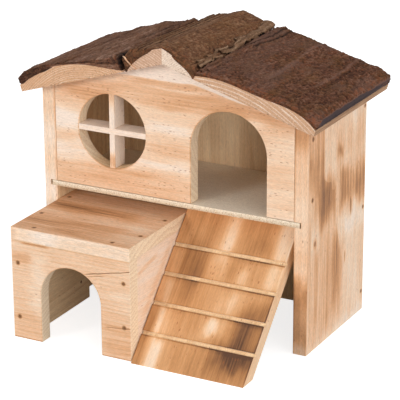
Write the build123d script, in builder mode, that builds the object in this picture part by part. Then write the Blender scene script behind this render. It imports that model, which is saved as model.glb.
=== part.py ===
from build123d import *
import os
from math import cos, radians, sin, tan

# Two-storey wooden house for hamsters, in millimetres.
# X runs along the front, Y from the front to the back and Z up.
# The origin is on the ground, under the middle of the whole object's box.

os.makedirs("parts", exist_ok=True)

# ---------------------------------------------------------------- driving dimensions

# Shell: two side walls with a front and a back panel set between them
house_width = 184.0  # over the outer faces of the side walls
house_depth = 85.0  # along the side walls
wall_thickness = 9.0
panel_thickness = 9.0
panel_side_gap = 0.25  # open joint between a panel and a side wall
floor_level = 82.4  # ground to the underside of the upper floor
upper_wall_height = 61.9  # top of the upper floor to the roof, at a wall's outer face
roof_pitch = radians(16.9)
edge_round = 0.4  # sanded edges of the thick boards

# Upper floor: a plywood plate that slides forward out of grooves in the side walls
plate_thickness = 3.2
plate_clearance = 0.4  # above the plate, in the grooves and under the front panel
plate_side_play = 1.1  # between each end of the plate and the bottom of its groove
plate_rear_gap = 0.3
groove_depth = 4.7

# Round window with a cross of two half-lapped bars
window_radius = 24.0
window_to_wall = 41.1  # window centre to the left wall's inner face
bar_width = 3.6
bar_depth = 12.0
bar_fit = 0.05  # glue line round the bars

# Arched doorway on the upper floor
door_width = 51.6
door_height = 62.7
door_to_wall = 44.0  # doorway centre to the right wall's inner face

# Annex: a low box in front of the left half, partly pushed into the house
annex_width = 84.0
annex_reach = 55.5  # in front of the house
annex_insert = 20.7  # inside the house
annex_drop = 9.0  # annex top to the underside of the upper floor
annex_board = 9.0
annex_wall_gap = 0.3
arch_width = 42.6
arch_height = 52.9

# Ramp up to the doorway, with grooves sawn across it for the feet
ramp_reach = 57.6  # foot of the ramp in front of the house
ramp_angle = radians(45.7)
ramp_board_thickness = 9.0
ramp_annex_gap = 0.6
ramp_wall_gap = 4.7
ramp_plate_gap = 0.3
foothold_count = 4
first_foothold = 21.0  # from the ramp's foot, along the slope
foothold_pitch = 20.1
foothold_width = 2.4
foothold_depth = 1.6

# Roof: four slabs sawn from the sides of small logs, with the bark left on. The two middle ones
# are mitred to each other at the ridge. Joints are measured down the slope from the ridge.
eave_overhang = 8.0
roof_front_overhang = 10.9
roof_rear_overhang = 12.1
left_joint = 26.0
left_joint_gap = 2.4
right_joint = 22.0
right_joint_gap = 0.4
left_slab_setback = 3.0  # the left slab is that much shorter at the back
mitre_allowance = 4.0  # a middle slab's width beyond the ridge, before the mitre is cut
bark_lip = 0.4  # bark proud of the wood at an eave

# Brads and nails
shank_diameter = 1.2
head_diameter = 2.0
head_thickness = 0.6
brad_length = 22.0
short_brad_length = 15.0
roof_nail_length = 24.0
hole_clearance = 0.05
wall_brad_inset = 13.0  # from a panel's end to the brad nearest to it
wall_brad_shift = 1.8  # behind the middle of the panel's thickness
groove_brad_drop = 11.8  # from the groove down to the middle brad of the back panel
annex_brad_inset = 14.3  # from the end of an annex board to the brad nearest to it
annex_left_setback = 28.6  # from the annex's front to the first brad over its left side
annex_right_setback = 21.4  # and over its right side
annex_right_rear_setback = 24.3  # from the annex's rear to the last brad over its right side
annex_right_low_brad = 21.4  # height of the low brad at the right end of the annex front
ramp_brad_inset = 30.0  # from the ramp's foot, along the slope
roof_nail_setback = 14.0  # from a side wall's end to the nail in its top edge


# One slab's section: for each station its share of the slab's width, from the ridge side to the
# eave side, the wood's thickness there, and the bark's thickness at the front and at the rear.
left_slab_stations = [
    (0.00, 0.8, 8.6, 6.5),
    (0.16, 4.6, 6.0, 6.3),
    (0.34, 8.9, 2.7, 3.9),
    (0.54, 11.2, 2.3, 2.0),
    (0.74, 10.9, 4.0, 2.3),
    (0.92, 7.6, 5.2, 5.0),
    (0.97, 5.8, 4.4, 4.2),
    (1.00, 4.2, 4.8, 3.4),
]
left_ridge_stations = [
    (0.00, 9.4, 0.9, 0.6),
    (0.20, 9.8, 1.2, 0.7),
    (0.36, 9.4, 1.9, 1.0),
    (0.56, 8.0, 3.4, 1.9),
    (0.80, 4.9, 5.3, 3.4),
    (1.00, 0.6, 8.2, 5.8),
]
right_ridge_stations = [
    (0.00, 9.3, 1.2, 1.0),
    (0.22, 8.8, 2.0, 1.5),
    (0.36, 7.9, 2.5, 2.1),
    (0.62, 6.1, 3.4, 3.0),
    (0.84, 3.8, 3.4, 2.6),
    (1.00, 1.1, 4.0, 2.6),
]
right_slab_stations = [
    (0.00, 2.4, 2.4, 4.0),
    (0.12, 5.4, 2.6, 3.7),
    (0.26, 7.2, 2.4, 3.1),
    (0.42, 7.7, 2.6, 2.9),
    (0.58, 8.3, 2.4, 2.5),
    (0.74, 9.1, 2.2, 2.1),
    (0.88, 7.9, 2.6, 2.7),
    (0.96, 5.6, 3.2, 3.3),
    (1.00, 3.6, 4.4, 4.8),
]
# Ribs along a slab's bark: for each its share of the slab's width, half its own width as such a
# share, and its height at the front and at the rear. They keep clear of the nails.
left_slab_ribs = [
    (0.05, 0.035, 0.4, 1.4),
    (0.32, 0.040, 0.9, 0.6),
    (0.58, 0.040, 0.6, 0.9),
    (0.87, 0.035, 0.8, 0.7),
]
left_ridge_ribs = []
right_ridge_ribs = [(0.89, 0.070, 1.0, 1.6)]
right_slab_ribs = [
    (0.07, 0.035, 0.3, 1.3),
    (0.42, 0.025, 0.5, 0.8),
    (0.73, 0.025, 0.6, 0.8),
]
left_slab_taper = 0.9  # wood thickness at the rear end, against the front end
ridge_taper = 0.82
right_slab_taper = 1.0

# ---------------------------------------------------------------- places worked out

total_depth = max(ramp_reach, annex_reach) + house_depth + roof_rear_overhang
front = max(ramp_reach, annex_reach) - total_depth / 2  # front face of the house
rear = front + house_depth
inner_half = house_width / 2 - wall_thickness  # to a side wall's inner face
panel_half = inner_half - panel_side_gap
plate_top = floor_level + plate_thickness
panel_bottom = plate_top + plate_clearance
side_height = plate_top + upper_wall_height
ridge_level = side_height + house_width / 2 * tan(roof_pitch)
back_panel_front = rear - panel_thickness

window_x = window_to_wall - inner_half
door_x = inner_half - door_to_wall

annex_left = annex_wall_gap - inner_half
annex_right = annex_left + annex_width
annex_front = front - annex_reach
annex_rear = front + annex_insert
annex_height = floor_level - annex_drop
annex_side_height = annex_height - annex_board
annex_middle = (annex_left + annex_right) / 2

ramp_left = annex_right + ramp_annex_gap
ramp_right = inner_half - ramp_wall_gap
ramp_front = front - ramp_reach
ramp_top = floor_level - ramp_plate_gap

roof_front = front - roof_front_overhang
roof_rear = rear + roof_rear_overhang
eave_end = (house_width / 2 + eave_overhang) / cos(roof_pitch)  # down the slope from the ridge

sunk = (Align.CENTER, Align.CENTER, Align.MAX)  # hangs down from its seat
standing = (Align.CENTER, Align.CENTER, Align.MIN)


def roof_underside(x):
    """Height of the roof's underside above the ground."""
    return ridge_level - abs(x) * tan(roof_pitch)


def save(piece, name):
    """Label a finished piece and write it as its own file."""
    piece.part.label = name
    export_step(piece.part, f"parts/{name}.step")


def brads(seats, length, clearance=0.0, mode=Mode.ADD):
    """Brads driven in at the seats or, subtracted with a clearance, the holes that they fill."""
    with Locations(*seats):
        Cylinder(shank_diameter / 2 + clearance, length + clearance, align=sunk, mode=mode)
        Cylinder(head_diameter / 2 + clearance, head_thickness + clearance, align=sunk, mode=mode)


def brad_holes(seats, length):
    """The holes of brads in the board that is being built."""
    brads(seats, length, clearance=hole_clearance, mode=Mode.SUBTRACT)


def seat(x, y, z, out):
    """Where a brad's head ends up, flush with the wood, facing out."""
    return Plane(origin=(x, y, z), z_dir=out)


# ---------------------------------------------------------------- places of the brads

front_brad_y = front + panel_thickness / 2 + wall_brad_shift
back_brad_y = rear - panel_thickness / 2 + wall_brad_shift
panel_side_height = roof_underside(panel_half)
wall_brad_places = [
    (front_brad_y, panel_bottom + wall_brad_inset),
    (front_brad_y, panel_side_height - wall_brad_inset),
    (back_brad_y, wall_brad_inset),
    (back_brad_y, floor_level - groove_brad_drop),
    (back_brad_y, panel_side_height - wall_brad_inset),
]
wall_brad_seats = {
    side: [seat(side * house_width / 2, y, z, (side, 0, 0)) for y, z in wall_brad_places]
    for side in (-1, 1)
}

annex_left_middle = annex_left + annex_board / 2
annex_right_middle = annex_right - annex_board / 2
annex_top_seats = [
    seat(annex_left + annex_brad_inset, annex_front + annex_board / 2, annex_height, (0, 0, 1)),
    seat(annex_right - annex_brad_inset, annex_front + annex_board / 2, annex_height, (0, 0, 1)),
    seat(annex_left_middle, annex_front + annex_left_setback, annex_height, (0, 0, 1)),
    seat(annex_left_middle, annex_rear - annex_brad_inset, annex_height, (0, 0, 1)),
    seat(annex_right_middle, annex_front + annex_right_setback, annex_height, (0, 0, 1)),
    seat(annex_right_middle, annex_rear - annex_right_rear_setback, annex_height, (0, 0, 1)),
]
annex_front_seats = [
    seat(annex_left_middle, annex_front, annex_brad_inset, (0, -1, 0)),
    seat(annex_left_middle, annex_front, annex_side_height - annex_brad_inset, (0, -1, 0)),
    seat(annex_right_middle, annex_front, annex_right_low_brad, (0, -1, 0)),
    seat(annex_right_middle, annex_front, annex_side_height - annex_brad_inset, (0, -1, 0)),
]
annex_anchor_seats = [
    seat(annex_left + annex_board, front + annex_insert / 2, z, (1, 0, 0))
    for z in (annex_brad_inset, annex_side_height - annex_brad_inset)
]


def on_ramp(along, depth):
    """A point (y, z) at a distance along the ramp from its foot and at a depth below its surface."""
    y = ramp_front + along * cos(ramp_angle) + depth * sin(ramp_angle)
    z = along * sin(ramp_angle) - depth * cos(ramp_angle)
    return y, z


ramp_brad_end = annex_side_height / sin(ramp_angle)
ramp_seats = [
    seat(annex_right - annex_board, *on_ramp(along, ramp_board_thickness / 2), (-1, 0, 0))
    for along in (ramp_brad_inset, (ramp_brad_inset + ramp_brad_end) / 2, ramp_brad_end)
]

# ---------------------------------------------------------------- roof slabs


def slope_point(side, along, out, y):
    """A point at a distance down one roof slope, and out from its underside."""
    x = side * (along * cos(roof_pitch) + out * sin(roof_pitch))
    z = ridge_level - along * sin(roof_pitch) + out * cos(roof_pitch)
    return x, y, z


def slope_section(side, y):
    """Plane across a slope: its x runs down the slope and its y stands off the slope."""
    down = (side * cos(roof_pitch), 0, -sin(roof_pitch))
    return Plane(origin=(0, y, ridge_level), x_dir=down, z_dir=(0, -side, 0))


class Slab:
    """Size and section of one log slab of the roof."""

    def __init__(self, side, inner, outer, rear_end, taper, stations, ribs):
        self.side = side
        self.inner = inner
        self.outer = outer
        self.rear_end = rear_end
        self.taper = taper
        self.stations = stations
        self.ribs = ribs
        self.ends = ((roof_front, 1.0, 2), (rear_end, taper, 3))

    def along(self, share):
        """Distance down the slope of a share of the slab's width."""
        return self.inner + share * (self.outer - self.inner)

    def bark_height(self, share, taper, end):
        """Height of the bark's outside over a share of the width, at the front or the rear end."""
        for start, stop in zip(self.stations, self.stations[1:]):
            if share <= stop[0]:
                break
        heights = [station[1] * taper + station[end] for station in (start, stop)]
        part = (share - start[0]) / (stop[0] - start[0])
        ribs = [rib[end] * max(0, 1 - abs(share - rib[0]) / rib[1]) for rib in self.ribs]
        return heights[0] + (heights[1] - heights[0]) * part + sum(ribs)

    def bark_outside(self, taper, end):
        """Points across the bark's outside at one end, through its stations and over its ribs."""
        shares = {station[0] for station in self.stations}
        for middle, half_width, *_ in self.ribs:
            shares |= {middle - half_width, middle, middle + half_width}
        return [(self.along(share), self.bark_height(share, taper, end)) for share in sorted(shares)]

    def nail_seat(self, station, y):
        """A nail's seat on the bark over one station, square to the slope."""
        share, wood, front_bark, rear_bark = self.stations[station]
        back = (y - roof_front) / (self.rear_end - roof_front)
        out = wood * (1 + (self.taper - 1) * back) + front_bark + (rear_bark - front_bark) * back
        normal = (self.side * sin(roof_pitch), 0, cos(roof_pitch))
        return Plane(origin=slope_point(self.side, self.along(share), out, y), z_dir=normal)


left_slab = Slab(
    -1, left_joint + left_joint_gap, eave_end, roof_rear - left_slab_setback,
    left_slab_taper, left_slab_stations, left_slab_ribs,
)
left_ridge = Slab(
    -1, -mitre_allowance, left_joint, roof_rear, ridge_taper, left_ridge_stations, left_ridge_ribs
)
right_ridge = Slab(
    1, -mitre_allowance, right_joint, roof_rear, ridge_taper, right_ridge_stations,
    right_ridge_ribs,
)
right_slab = Slab(
    1, right_joint + right_joint_gap, eave_end, roof_rear, right_slab_taper, right_slab_stations,
    right_slab_ribs,
)

panel_nail_ys = (front_brad_y, back_brad_y)
wall_nail_ys = (front + roof_nail_setback, rear - roof_nail_setback)
roof_nail_seats = {
    "left": [left_slab.nail_seat(1, y) for y in panel_nail_ys]
    + [left_slab.nail_seat(4, y) for y in wall_nail_ys],
    "ridge_left": [left_ridge.nail_seat(2, y) for y in panel_nail_ys],
    "ridge_right": [right_ridge.nail_seat(2, y) for y in panel_nail_ys],
    "right": [right_slab.nail_seat(1, y) for y in panel_nail_ys]
    + [right_slab.nail_seat(6, y) for y in wall_nail_ys],
}
all_roof_nails = [place for places in roof_nail_seats.values() for place in places]


def make_wood(slab):
    """The wood of a slab: flat below, round on top, sawn square at the eave."""
    with BuildPart() as wood:
        for y, scale, _ in slab.ends:
            top = [(slab.along(share), thickness * scale) for share, thickness, _, _ in slab.stations]
            with BuildSketch(slope_section(slab.side, y)):
                with BuildLine():
                    Spline(*top)
                    Polyline(top[-1], (slab.outer, 0), (slab.inner, 0), top[0])
                make_face()
        loft(ruled=True)
        split(bisect_by=Plane.YZ, keep=Keep.TOP if slab.side > 0 else Keep.BOTTOM)
    return wood


def make_bark(slab, wood):
    """The bark on a slab, down to the wood's round top."""
    with BuildPart() as bark:
        for y, scale, column in slab.ends:
            outside = slab.bark_outside(scale, column)
            inside = [
                (slab.along(share), thickness * scale / 2) for share, thickness, _, _ in slab.stations
            ]
            lip = slab.outer + (bark_lip if slab.outer == eave_end else 0)
            outside[-1] = (lip, outside[-1][1])
            inside[-1] = (lip, outside[-1][1] - slab.stations[-1][column])
            with BuildSketch(slope_section(slab.side, y)):
                with BuildLine():
                    Polyline(*outside, *reversed(inside), close=True)
                make_face()
        loft(ruled=True)
        add(wood.part, mode=Mode.SUBTRACT)
        split(bisect_by=Plane.YZ, keep=Keep.TOP if slab.side > 0 else Keep.BOTTOM)
    return bark


# ---------------------------------------------------------------- side walls


def make_side_wall(side):
    """A side wall: bevelled on top to the roof's pitch, grooved inside for the upper floor."""
    outer = side * house_width / 2
    inner = side * inner_half
    with BuildPart() as wall:
        with BuildSketch(Plane.XZ.offset(-rear)):
            with BuildLine():
                Polyline(
                    (outer, 0), (inner, 0), (inner, roof_underside(inner)), (outer, side_height),
                    close=True,
                )
            make_face()
        extrude(amount=house_depth)
        fillet(wall.edges(), edge_round)
        with Locations((inner, (front + rear) / 2, floor_level)):
            Box(
                2 * groove_depth, house_depth, plate_thickness + plate_clearance,
                align=standing, mode=Mode.SUBTRACT,
            )
        brad_holes(wall_brad_seats[side], brad_length)
        brad_holes(annex_anchor_seats, short_brad_length)
        brad_holes(all_roof_nails, roof_nail_length)
    return wall


# ---------------------------------------------------------------- front and back panels


def make_panel(y_back, bottom):
    """A gabled board between the side walls, its rear face at y_back."""
    with BuildPart() as panel:
        with BuildSketch(Plane.XZ.offset(-y_back)):
            with BuildLine():
                Polyline(
                    (-panel_half, bottom), (panel_half, bottom),
                    (panel_half, panel_side_height), (0, ridge_level),
                    (-panel_half, panel_side_height), close=True,
                )
            make_face()
        extrude(amount=panel_thickness)
        fillet(panel.edges(), edge_round)
        for side in (-1, 1):
            brad_holes(wall_brad_seats[side], brad_length)
        brad_holes(all_roof_nails, roof_nail_length)
    return panel


window_z = (panel_bottom + roof_underside(window_x)) / 2
front_blank = make_panel(front + panel_thickness, panel_bottom)
with BuildPart() as front_panel:
    add(front_blank.part)
    with BuildSketch(Plane.XZ.offset(-front)):
        with Locations((window_x, window_z)):
            Circle(window_radius)
        with Locations((door_x, plate_top + door_height - door_width / 2)):
            Circle(door_width / 2)
        with Locations((door_x, plate_top)):
            Rectangle(
                door_width, door_height - door_width / 2, align=(Align.CENTER, Align.MIN)
            )
    extrude(amount=-panel_thickness, mode=Mode.SUBTRACT)

back_panel = make_panel(rear, 0)

# ---------------------------------------------------------------- window bars

bar_half_length = (window_radius**2 - (bar_width / 2) ** 2) ** 0.5 - bar_fit
lap_depth = bar_depth / 2


def make_bar(tall, slot_y):
    """A window bar, upright or lying, with a half-lap slot that starts at slot_y."""
    length = 2 * bar_half_length
    size = (bar_width, bar_depth, length) if tall else (length, bar_depth, bar_width)
    with BuildPart() as bar:
        with Locations((window_x, front + bar_depth / 2, window_z)):
            Box(*size)
        with Locations((window_x, slot_y + lap_depth / 2, window_z)):
            slot = bar_width + 2 * bar_fit
            Box(slot, lap_depth + bar_fit, slot, mode=Mode.SUBTRACT)
    return bar


window_bar_vertical = make_bar(True, front)
window_bar_horizontal = make_bar(False, front + lap_depth)

# ---------------------------------------------------------------- upper floor

plate_width = 2 * (inner_half + groove_depth - plate_side_play)
plate_depth = back_panel_front - plate_rear_gap - front
with BuildPart() as floor_plate:
    with Locations((0, front + plate_depth / 2, floor_level)):
        Box(plate_width, plate_depth, plate_thickness, align=standing)

# ---------------------------------------------------------------- annex

with BuildPart() as annex_front_board:
    with BuildSketch(Plane.XZ.offset(-(annex_front + annex_board))):
        with Locations((annex_middle, 0)):
            Rectangle(annex_width, annex_side_height, align=(Align.CENTER, Align.MIN))
            Rectangle(
                arch_width, arch_height - arch_width / 2,
                align=(Align.CENTER, Align.MIN), mode=Mode.SUBTRACT,
            )
        with Locations((annex_middle, arch_height - arch_width / 2)):
            Circle(arch_width / 2, mode=Mode.SUBTRACT)
    extrude(amount=annex_board)
    fillet(annex_front_board.edges(), edge_round)
    brad_holes(annex_front_seats, brad_length)
    brad_holes(annex_top_seats, brad_length)


def make_annex_side(x_middle):
    """A side of the annex, behind its front board and under its top."""
    depth = annex_rear - annex_front - annex_board
    with BuildPart() as board:
        with Locations((x_middle, annex_rear - depth / 2, 0)):
            Box(annex_board, depth, annex_side_height, align=standing)
        fillet(board.edges(), edge_round)
        brad_holes(annex_front_seats, brad_length)
        brad_holes(annex_top_seats, brad_length)
        brad_holes(annex_anchor_seats, short_brad_length)
        brad_holes(ramp_seats, brad_length)
    return board


annex_left_side = make_annex_side(annex_left_middle)
annex_right_side = make_annex_side(annex_right_middle)

with BuildPart() as annex_top:
    with Locations((annex_middle, (annex_front + annex_rear) / 2, annex_side_height)):
        Box(annex_width, annex_rear - annex_front, annex_board, align=standing)
    fillet(annex_top.edges(), edge_round)
    brad_holes(annex_top_seats, brad_length)

# ---------------------------------------------------------------- ramp

ramp_end = ramp_top / sin(ramp_angle)  # along the slope, to the top edge under the upper floor
ramp_cut = ramp_board_thickness / tan(ramp_angle)  # how far the level cuts set the rear face back
with BuildPart() as ramp_board:
    with BuildSketch(Plane.YZ.offset(ramp_left)):
        with BuildLine():
            Polyline(
                on_ramp(0, 0), on_ramp(ramp_end, 0),
                on_ramp(ramp_end + ramp_cut, ramp_board_thickness),
                on_ramp(ramp_cut, ramp_board_thickness), close=True,
            )
        make_face()
    extrude(amount=ramp_right - ramp_left)
    fillet(ramp_board.edges().filter_by(Axis.X, reverse=True), edge_round)
    ramp_face = Plane(
        origin=((ramp_left + ramp_right) / 2, *on_ramp(first_foothold, 0)), x_dir=(1, 0, 0),
        z_dir=(0, -sin(ramp_angle), cos(ramp_angle)),
    )
    with BuildSketch(ramp_face):
        with Locations(*[(0, number * foothold_pitch) for number in range(foothold_count)]):
            Rectangle(ramp_right - ramp_left, foothold_width)
    extrude(amount=-foothold_depth, mode=Mode.SUBTRACT)
    brad_holes(ramp_seats, brad_length)


# ---------------------------------------------------------------- fasteners


def make_brads(seats, length):
    """A group of brads."""
    with BuildPart() as group:
        brads(seats, length)
    return group


# ---------------------------------------------------------------- finished pieces

save(make_side_wall(-1), "left_wall")
save(make_side_wall(1), "right_wall")
save(front_panel, "front_panel")
save(back_panel, "back_panel")
save(window_bar_vertical, "window_bar_vertical")
save(window_bar_horizontal, "window_bar_horizontal")
save(floor_plate, "floor_plate")
save(annex_front_board, "annex_front")
save(annex_left_side, "annex_left_side")
save(annex_right_side, "annex_right_side")
save(annex_top, "annex_top")
save(ramp_board, "ramp_board")

slabs = {"left": left_slab, "ridge_left": left_ridge, "ridge_right": right_ridge, "right": right_slab}
for place, slab in slabs.items():
    solid_wood = make_wood(slab)
    with BuildPart() as roof_slab:
        add(solid_wood.part)
        brad_holes(roof_nail_seats[place], roof_nail_length)
    save(roof_slab, f"roof_slab_{place}")
    with BuildPart() as roof_bark:
        add(make_bark(slab, solid_wood).part)
        brad_holes(roof_nail_seats[place], roof_nail_length)
    save(roof_bark, f"roof_bark_{place}")

save(make_brads(wall_brad_seats[-1], brad_length), "wall_brads_left")
save(make_brads(wall_brad_seats[1], brad_length), "wall_brads_right")
save(make_brads(annex_top_seats, brad_length), "annex_top_brads")
save(make_brads(annex_front_seats, brad_length), "annex_front_brads")
save(make_brads(annex_anchor_seats, short_brad_length), "annex_anchor_brads")
save(make_brads(ramp_seats, brad_length), "ramp_brads")
save(make_brads(all_roof_nails, roof_nail_length), "roof_nails")
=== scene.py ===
"""Looks of the wooden hamster house: flamed pine boards, log slabs under real bark, brads, and roof nails
sunk into the bark.

Lengths in the code are millimetres in the row frame unless a name says otherwise: X along the
front, Y from the front to the back, Z up. Blender's own lengths are metres. On a roof slope,
u runs down from the ridge and w out from the slab's underside.
"""

from collections import namedtuple
from math import cos, pi, radians, sin, tan

import bpy
import numpy as np
from mathutils import Matrix, Vector
from mathutils.bvhtree import BVHTree


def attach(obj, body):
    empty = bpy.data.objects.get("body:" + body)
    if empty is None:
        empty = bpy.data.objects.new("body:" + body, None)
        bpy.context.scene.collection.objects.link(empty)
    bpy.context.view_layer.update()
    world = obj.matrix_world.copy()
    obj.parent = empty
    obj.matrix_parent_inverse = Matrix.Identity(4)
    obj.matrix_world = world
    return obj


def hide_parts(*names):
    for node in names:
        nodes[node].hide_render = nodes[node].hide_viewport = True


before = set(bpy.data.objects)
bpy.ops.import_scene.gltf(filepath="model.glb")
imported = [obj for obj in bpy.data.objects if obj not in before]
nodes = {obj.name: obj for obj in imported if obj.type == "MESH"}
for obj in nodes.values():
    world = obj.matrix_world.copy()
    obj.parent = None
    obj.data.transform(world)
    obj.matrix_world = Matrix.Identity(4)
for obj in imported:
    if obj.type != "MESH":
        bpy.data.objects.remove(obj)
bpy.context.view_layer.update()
MM = 0.001
X, Y, Z = range(3)

# ---------------- places in the CAD model


def span(node, axis):
    """Where a CAD node starts and stops on an axis, in millimetres."""
    places = [vertex.co[axis] / MM for vertex in nodes[node].data.vertices]
    return round(min(places), 2), round(max(places), 2)


FRONT_Y, REAR_Y = span("right_wall", Y)  # front and rear faces of the house
FRONT_PANEL_Y, REAR_PANEL_Y = -13.45, 62.55  # where brads and nails run into the two panels
WALL_NAIL_YS = (-5.75, 51.25)  # where nails run into the side walls
WALL_X = span("right_wall", X)[1]  # outer face of a side wall
WALL_INNER_X = WALL_X - 9.0
RIDGE_Z = 175.45  # underside of the roof at the ridge
PITCH = radians(16.9)
ROOF_FRONT_Y, ROOF_REAR_Y = span("roof_slab_right", Y)
LEFT_SLAB_REAR_Y = span("roof_slab_left", Y)[1]
EAVE_U = 104.9  # where both slopes end
RIDGE_START_U = -3.0  # where the ridge slabs' outer surface starts, on the far side of the ridge
LEFT_RIDGE_U = 26.0  # where the two ridge slabs end, and the side slabs begin
LEFT_SLAB_U = 28.4
RIGHT_RIDGE_U = 22.0
RIGHT_SLAB_U = 22.4
WINDOW = (-41.9, 124.36, 24.0)  # x, z and radius
DOOR = (39.0, 122.5, 25.8)  # x and z of its arch's middle, and the arch's radius
PLATE_Z = span("floor_plate", Z)
ANNEX_FRONT_Y = span("annex_front", Y)[0]
ANNEX_LEFT_X = span("annex_left_side", X)[0]
ANNEX_RIGHT_X = span("annex_right_side", X)[1]
ANNEX_TOP_Z = span("annex_top", Z)[1]
ANNEX_ARCH = (-40.7, 31.6, 21.3)  # the same for the annex
RAMP_X = span("ramp_board", X)
RAMP_FOOT_Y = span("ramp_board", Y)[0]
RAMP_ANGLE = radians(45.7)
GROOVES = (21.0, 41.1, 61.2, 81.3)  # centres, up the ramp from its foot
GROOVE_WIDTH = 2.4


def rgb(red, green, blue):
    """A display colour, 0 to 255, as the linear colour that a socket takes."""
    linear = []
    for channel in (red, green, blue):
        share = channel / 255
        linear.append(share / 12.92 if share <= 0.04045 else ((share + 0.055) / 1.055) ** 2.4)
    return (*linear, 1.0)


# ---------------- node trees


def operator(operation, swapped=False):
    """A method of Num that adds a math node of this kind."""
    def add_node(self, other=0.0):
        first, second = (other, self) if swapped else (self, other)
        return self.graph.math(operation, first, second)
    return add_node


class Num:
    """A number in a material's node tree; arithmetic on it adds the nodes."""

    __add__ = __radd__ = operator("ADD")
    __sub__ = operator("SUBTRACT")
    __rsub__ = operator("SUBTRACT", swapped=True)
    __mul__ = __rmul__ = operator("MULTIPLY")
    __truediv__ = operator("DIVIDE")
    __abs__ = operator("ABSOLUTE")
    lowest = operator("MINIMUM")
    highest = operator("MAXIMUM")
    fraction = operator("FRACT")

    def __init__(self, graph, socket):
        self.graph = graph
        self.socket = socket

    def clamped(self):
        return self.graph.math("ADD", self, 0.0, clamp=True)

    def step(self, low, high):
        """0 at low and 1 at high, smooth between; low may be above high."""
        made = self.graph.node("MapRange", interpolation_type="SMOOTHSTEP")
        for name, value in (("Value", self), ("From Min", low), ("From Max", high)):
            self.graph.feed(made.inputs[name], value)
        return Num(self.graph, made.outputs["Result"])

    def within(self, low, high, soft):
        """1 between low and high, falling to 0 over a soft width at each end."""
        return self.step(low - soft / 2, low + soft / 2) * self.step(high + soft / 2, high - soft / 2)


class Tree:
    """The node tree of a material or a world, emptied."""

    def __init__(self, owner):
        self.owner = owner
        owner.use_nodes = True
        self.tree = owner.node_tree
        self.tree.nodes.clear()

    def node(self, kind, *inputs, **settings):
        """A new node, its first inputs fed and its settings made."""
        made = self.tree.nodes.new("ShaderNode" + kind)
        for name, value in settings.items():
            setattr(made, name, value)
        for socket, value in zip(made.inputs, inputs):
            self.feed(socket, value)
        return made

    def feed(self, socket, value):
        if isinstance(value, Num):
            value = value.socket
        if isinstance(value, bpy.types.NodeSocket):
            self.tree.links.new(value, socket)
        else:
            socket.default_value = value

    def math(self, operation, first, second=0.0, clamp=False):
        made = self.node("Math", first, second, operation=operation, use_clamp=clamp)
        return Num(self, made.outputs[0])

    def close(self, output_kind, shader):
        """Ends the tree, and returns the material or world that it belongs to."""
        self.node(output_kind, shader)
        return self.owner


class Graph(Tree):
    """A material's node tree, with the mesh's own place in millimetres as x, y and z."""

    def __init__(self, name):
        super().__init__(bpy.data.materials.new(name))
        place = self.node("TexCoord").outputs["Object"]
        self.x, self.y, self.z = (axis * 1000.0 for axis in self.split(place))
        normal = self.node("NewGeometry").outputs["True Normal"]
        self.normal_x, self.normal_y, self.normal_z = self.split(normal)

    def split(self, vector):
        return [Num(self, output) for output in self.node("SeparateXYZ", vector).outputs]

    def point(self, x, y, z):
        return self.node("CombineXYZ", x, y, z).outputs[0]

    def distance(self, *sides):
        """Length of the vector with these sides, two or three of them."""
        vector = self.point(*sides, *[0.0] * (3 - len(sides)))
        made = self.node("VectorMath", vector, operation="LENGTH")
        return Num(self, made.outputs["Value"])

    def noise(self, x, y, z, seed, detail=2.0, rough=0.5):
        """Soft noise about 0, most of it within 0.25 either way, one unit across a lump."""
        made = self.node("TexNoise")
        self.feed(made.inputs["Vector"], self.point(x + seed * 17.31, y - seed * 9.73, z + seed * 5.17))
        made.inputs["Scale"].default_value = 1.0
        made.inputs["Detail"].default_value = detail
        made.inputs["Roughness"].default_value = rough
        return Num(self, made.outputs[0]) - 0.5

    def cells(self, x, y, z, seed):
        """Distance to the nearest scattered point, and a random number that goes with it."""
        made = self.node("TexVoronoi")
        self.feed(made.inputs["Vector"], self.point(x + seed * 7.77, y + seed * 3.33, z - seed * 8.11))
        made.inputs["Scale"].default_value = 1.0
        return Num(self, made.outputs["Distance"]), self.split(made.outputs["Color"])[0]

    def attribute(self, name):
        return Num(self, self.node("Attribute", attribute_name=name).outputs["Fac"])

    def ramp(self, value, stops):
        """A colour that runs through (place, colour) stops as value goes from 0 to 1."""
        made = self.node("ValToRGB", value)
        points = made.color_ramp.elements
        while len(points) < len(stops):
            points.new(1.0)
        for point, (place, colour) in zip(points, stops):
            point.position = place
            point.color = colour
        return made.outputs["Color"]

    def blend(self, share, first, second):
        made = self.node("Mix", data_type="RGBA")
        for place, value in ((0, share), (6, first), (7, second)):  # a Mix node's colour sockets
            self.feed(made.inputs[place], value)
        return made.outputs[2]

    def lighten(self, colour, gain):
        """A colour times a number that is about 1."""
        vector = colour[:3] if isinstance(colour, tuple) else colour
        made = self.node("VectorMath", vector, operation="SCALE")
        self.feed(made.inputs["Scale"], gain)
        return made.outputs[0]

    def bump(self, height, depth):
        """A shading normal from a height that goes over 0 to 1, depth being its size in millimetres."""
        made = self.node("Bump")
        made.inputs["Distance"].default_value = depth * MM
        self.feed(made.inputs["Height"], height)
        return made.outputs["Normal"]

    def finish(self, colour, roughness, normal, **fixed):
        """Closes the tree with one Principled surface."""
        surface = self.node("BsdfPrincipled")
        for name, value in (("Base Color", colour), ("Roughness", roughness), ("Normal", normal)):
            self.feed(surface.inputs[name], value)
        for name, value in fixed.items():
            surface.inputs[name.replace("_", " ")].default_value = value
        return self.close("OutputMaterial", surface.outputs[0])


# ---------------- pine

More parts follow.
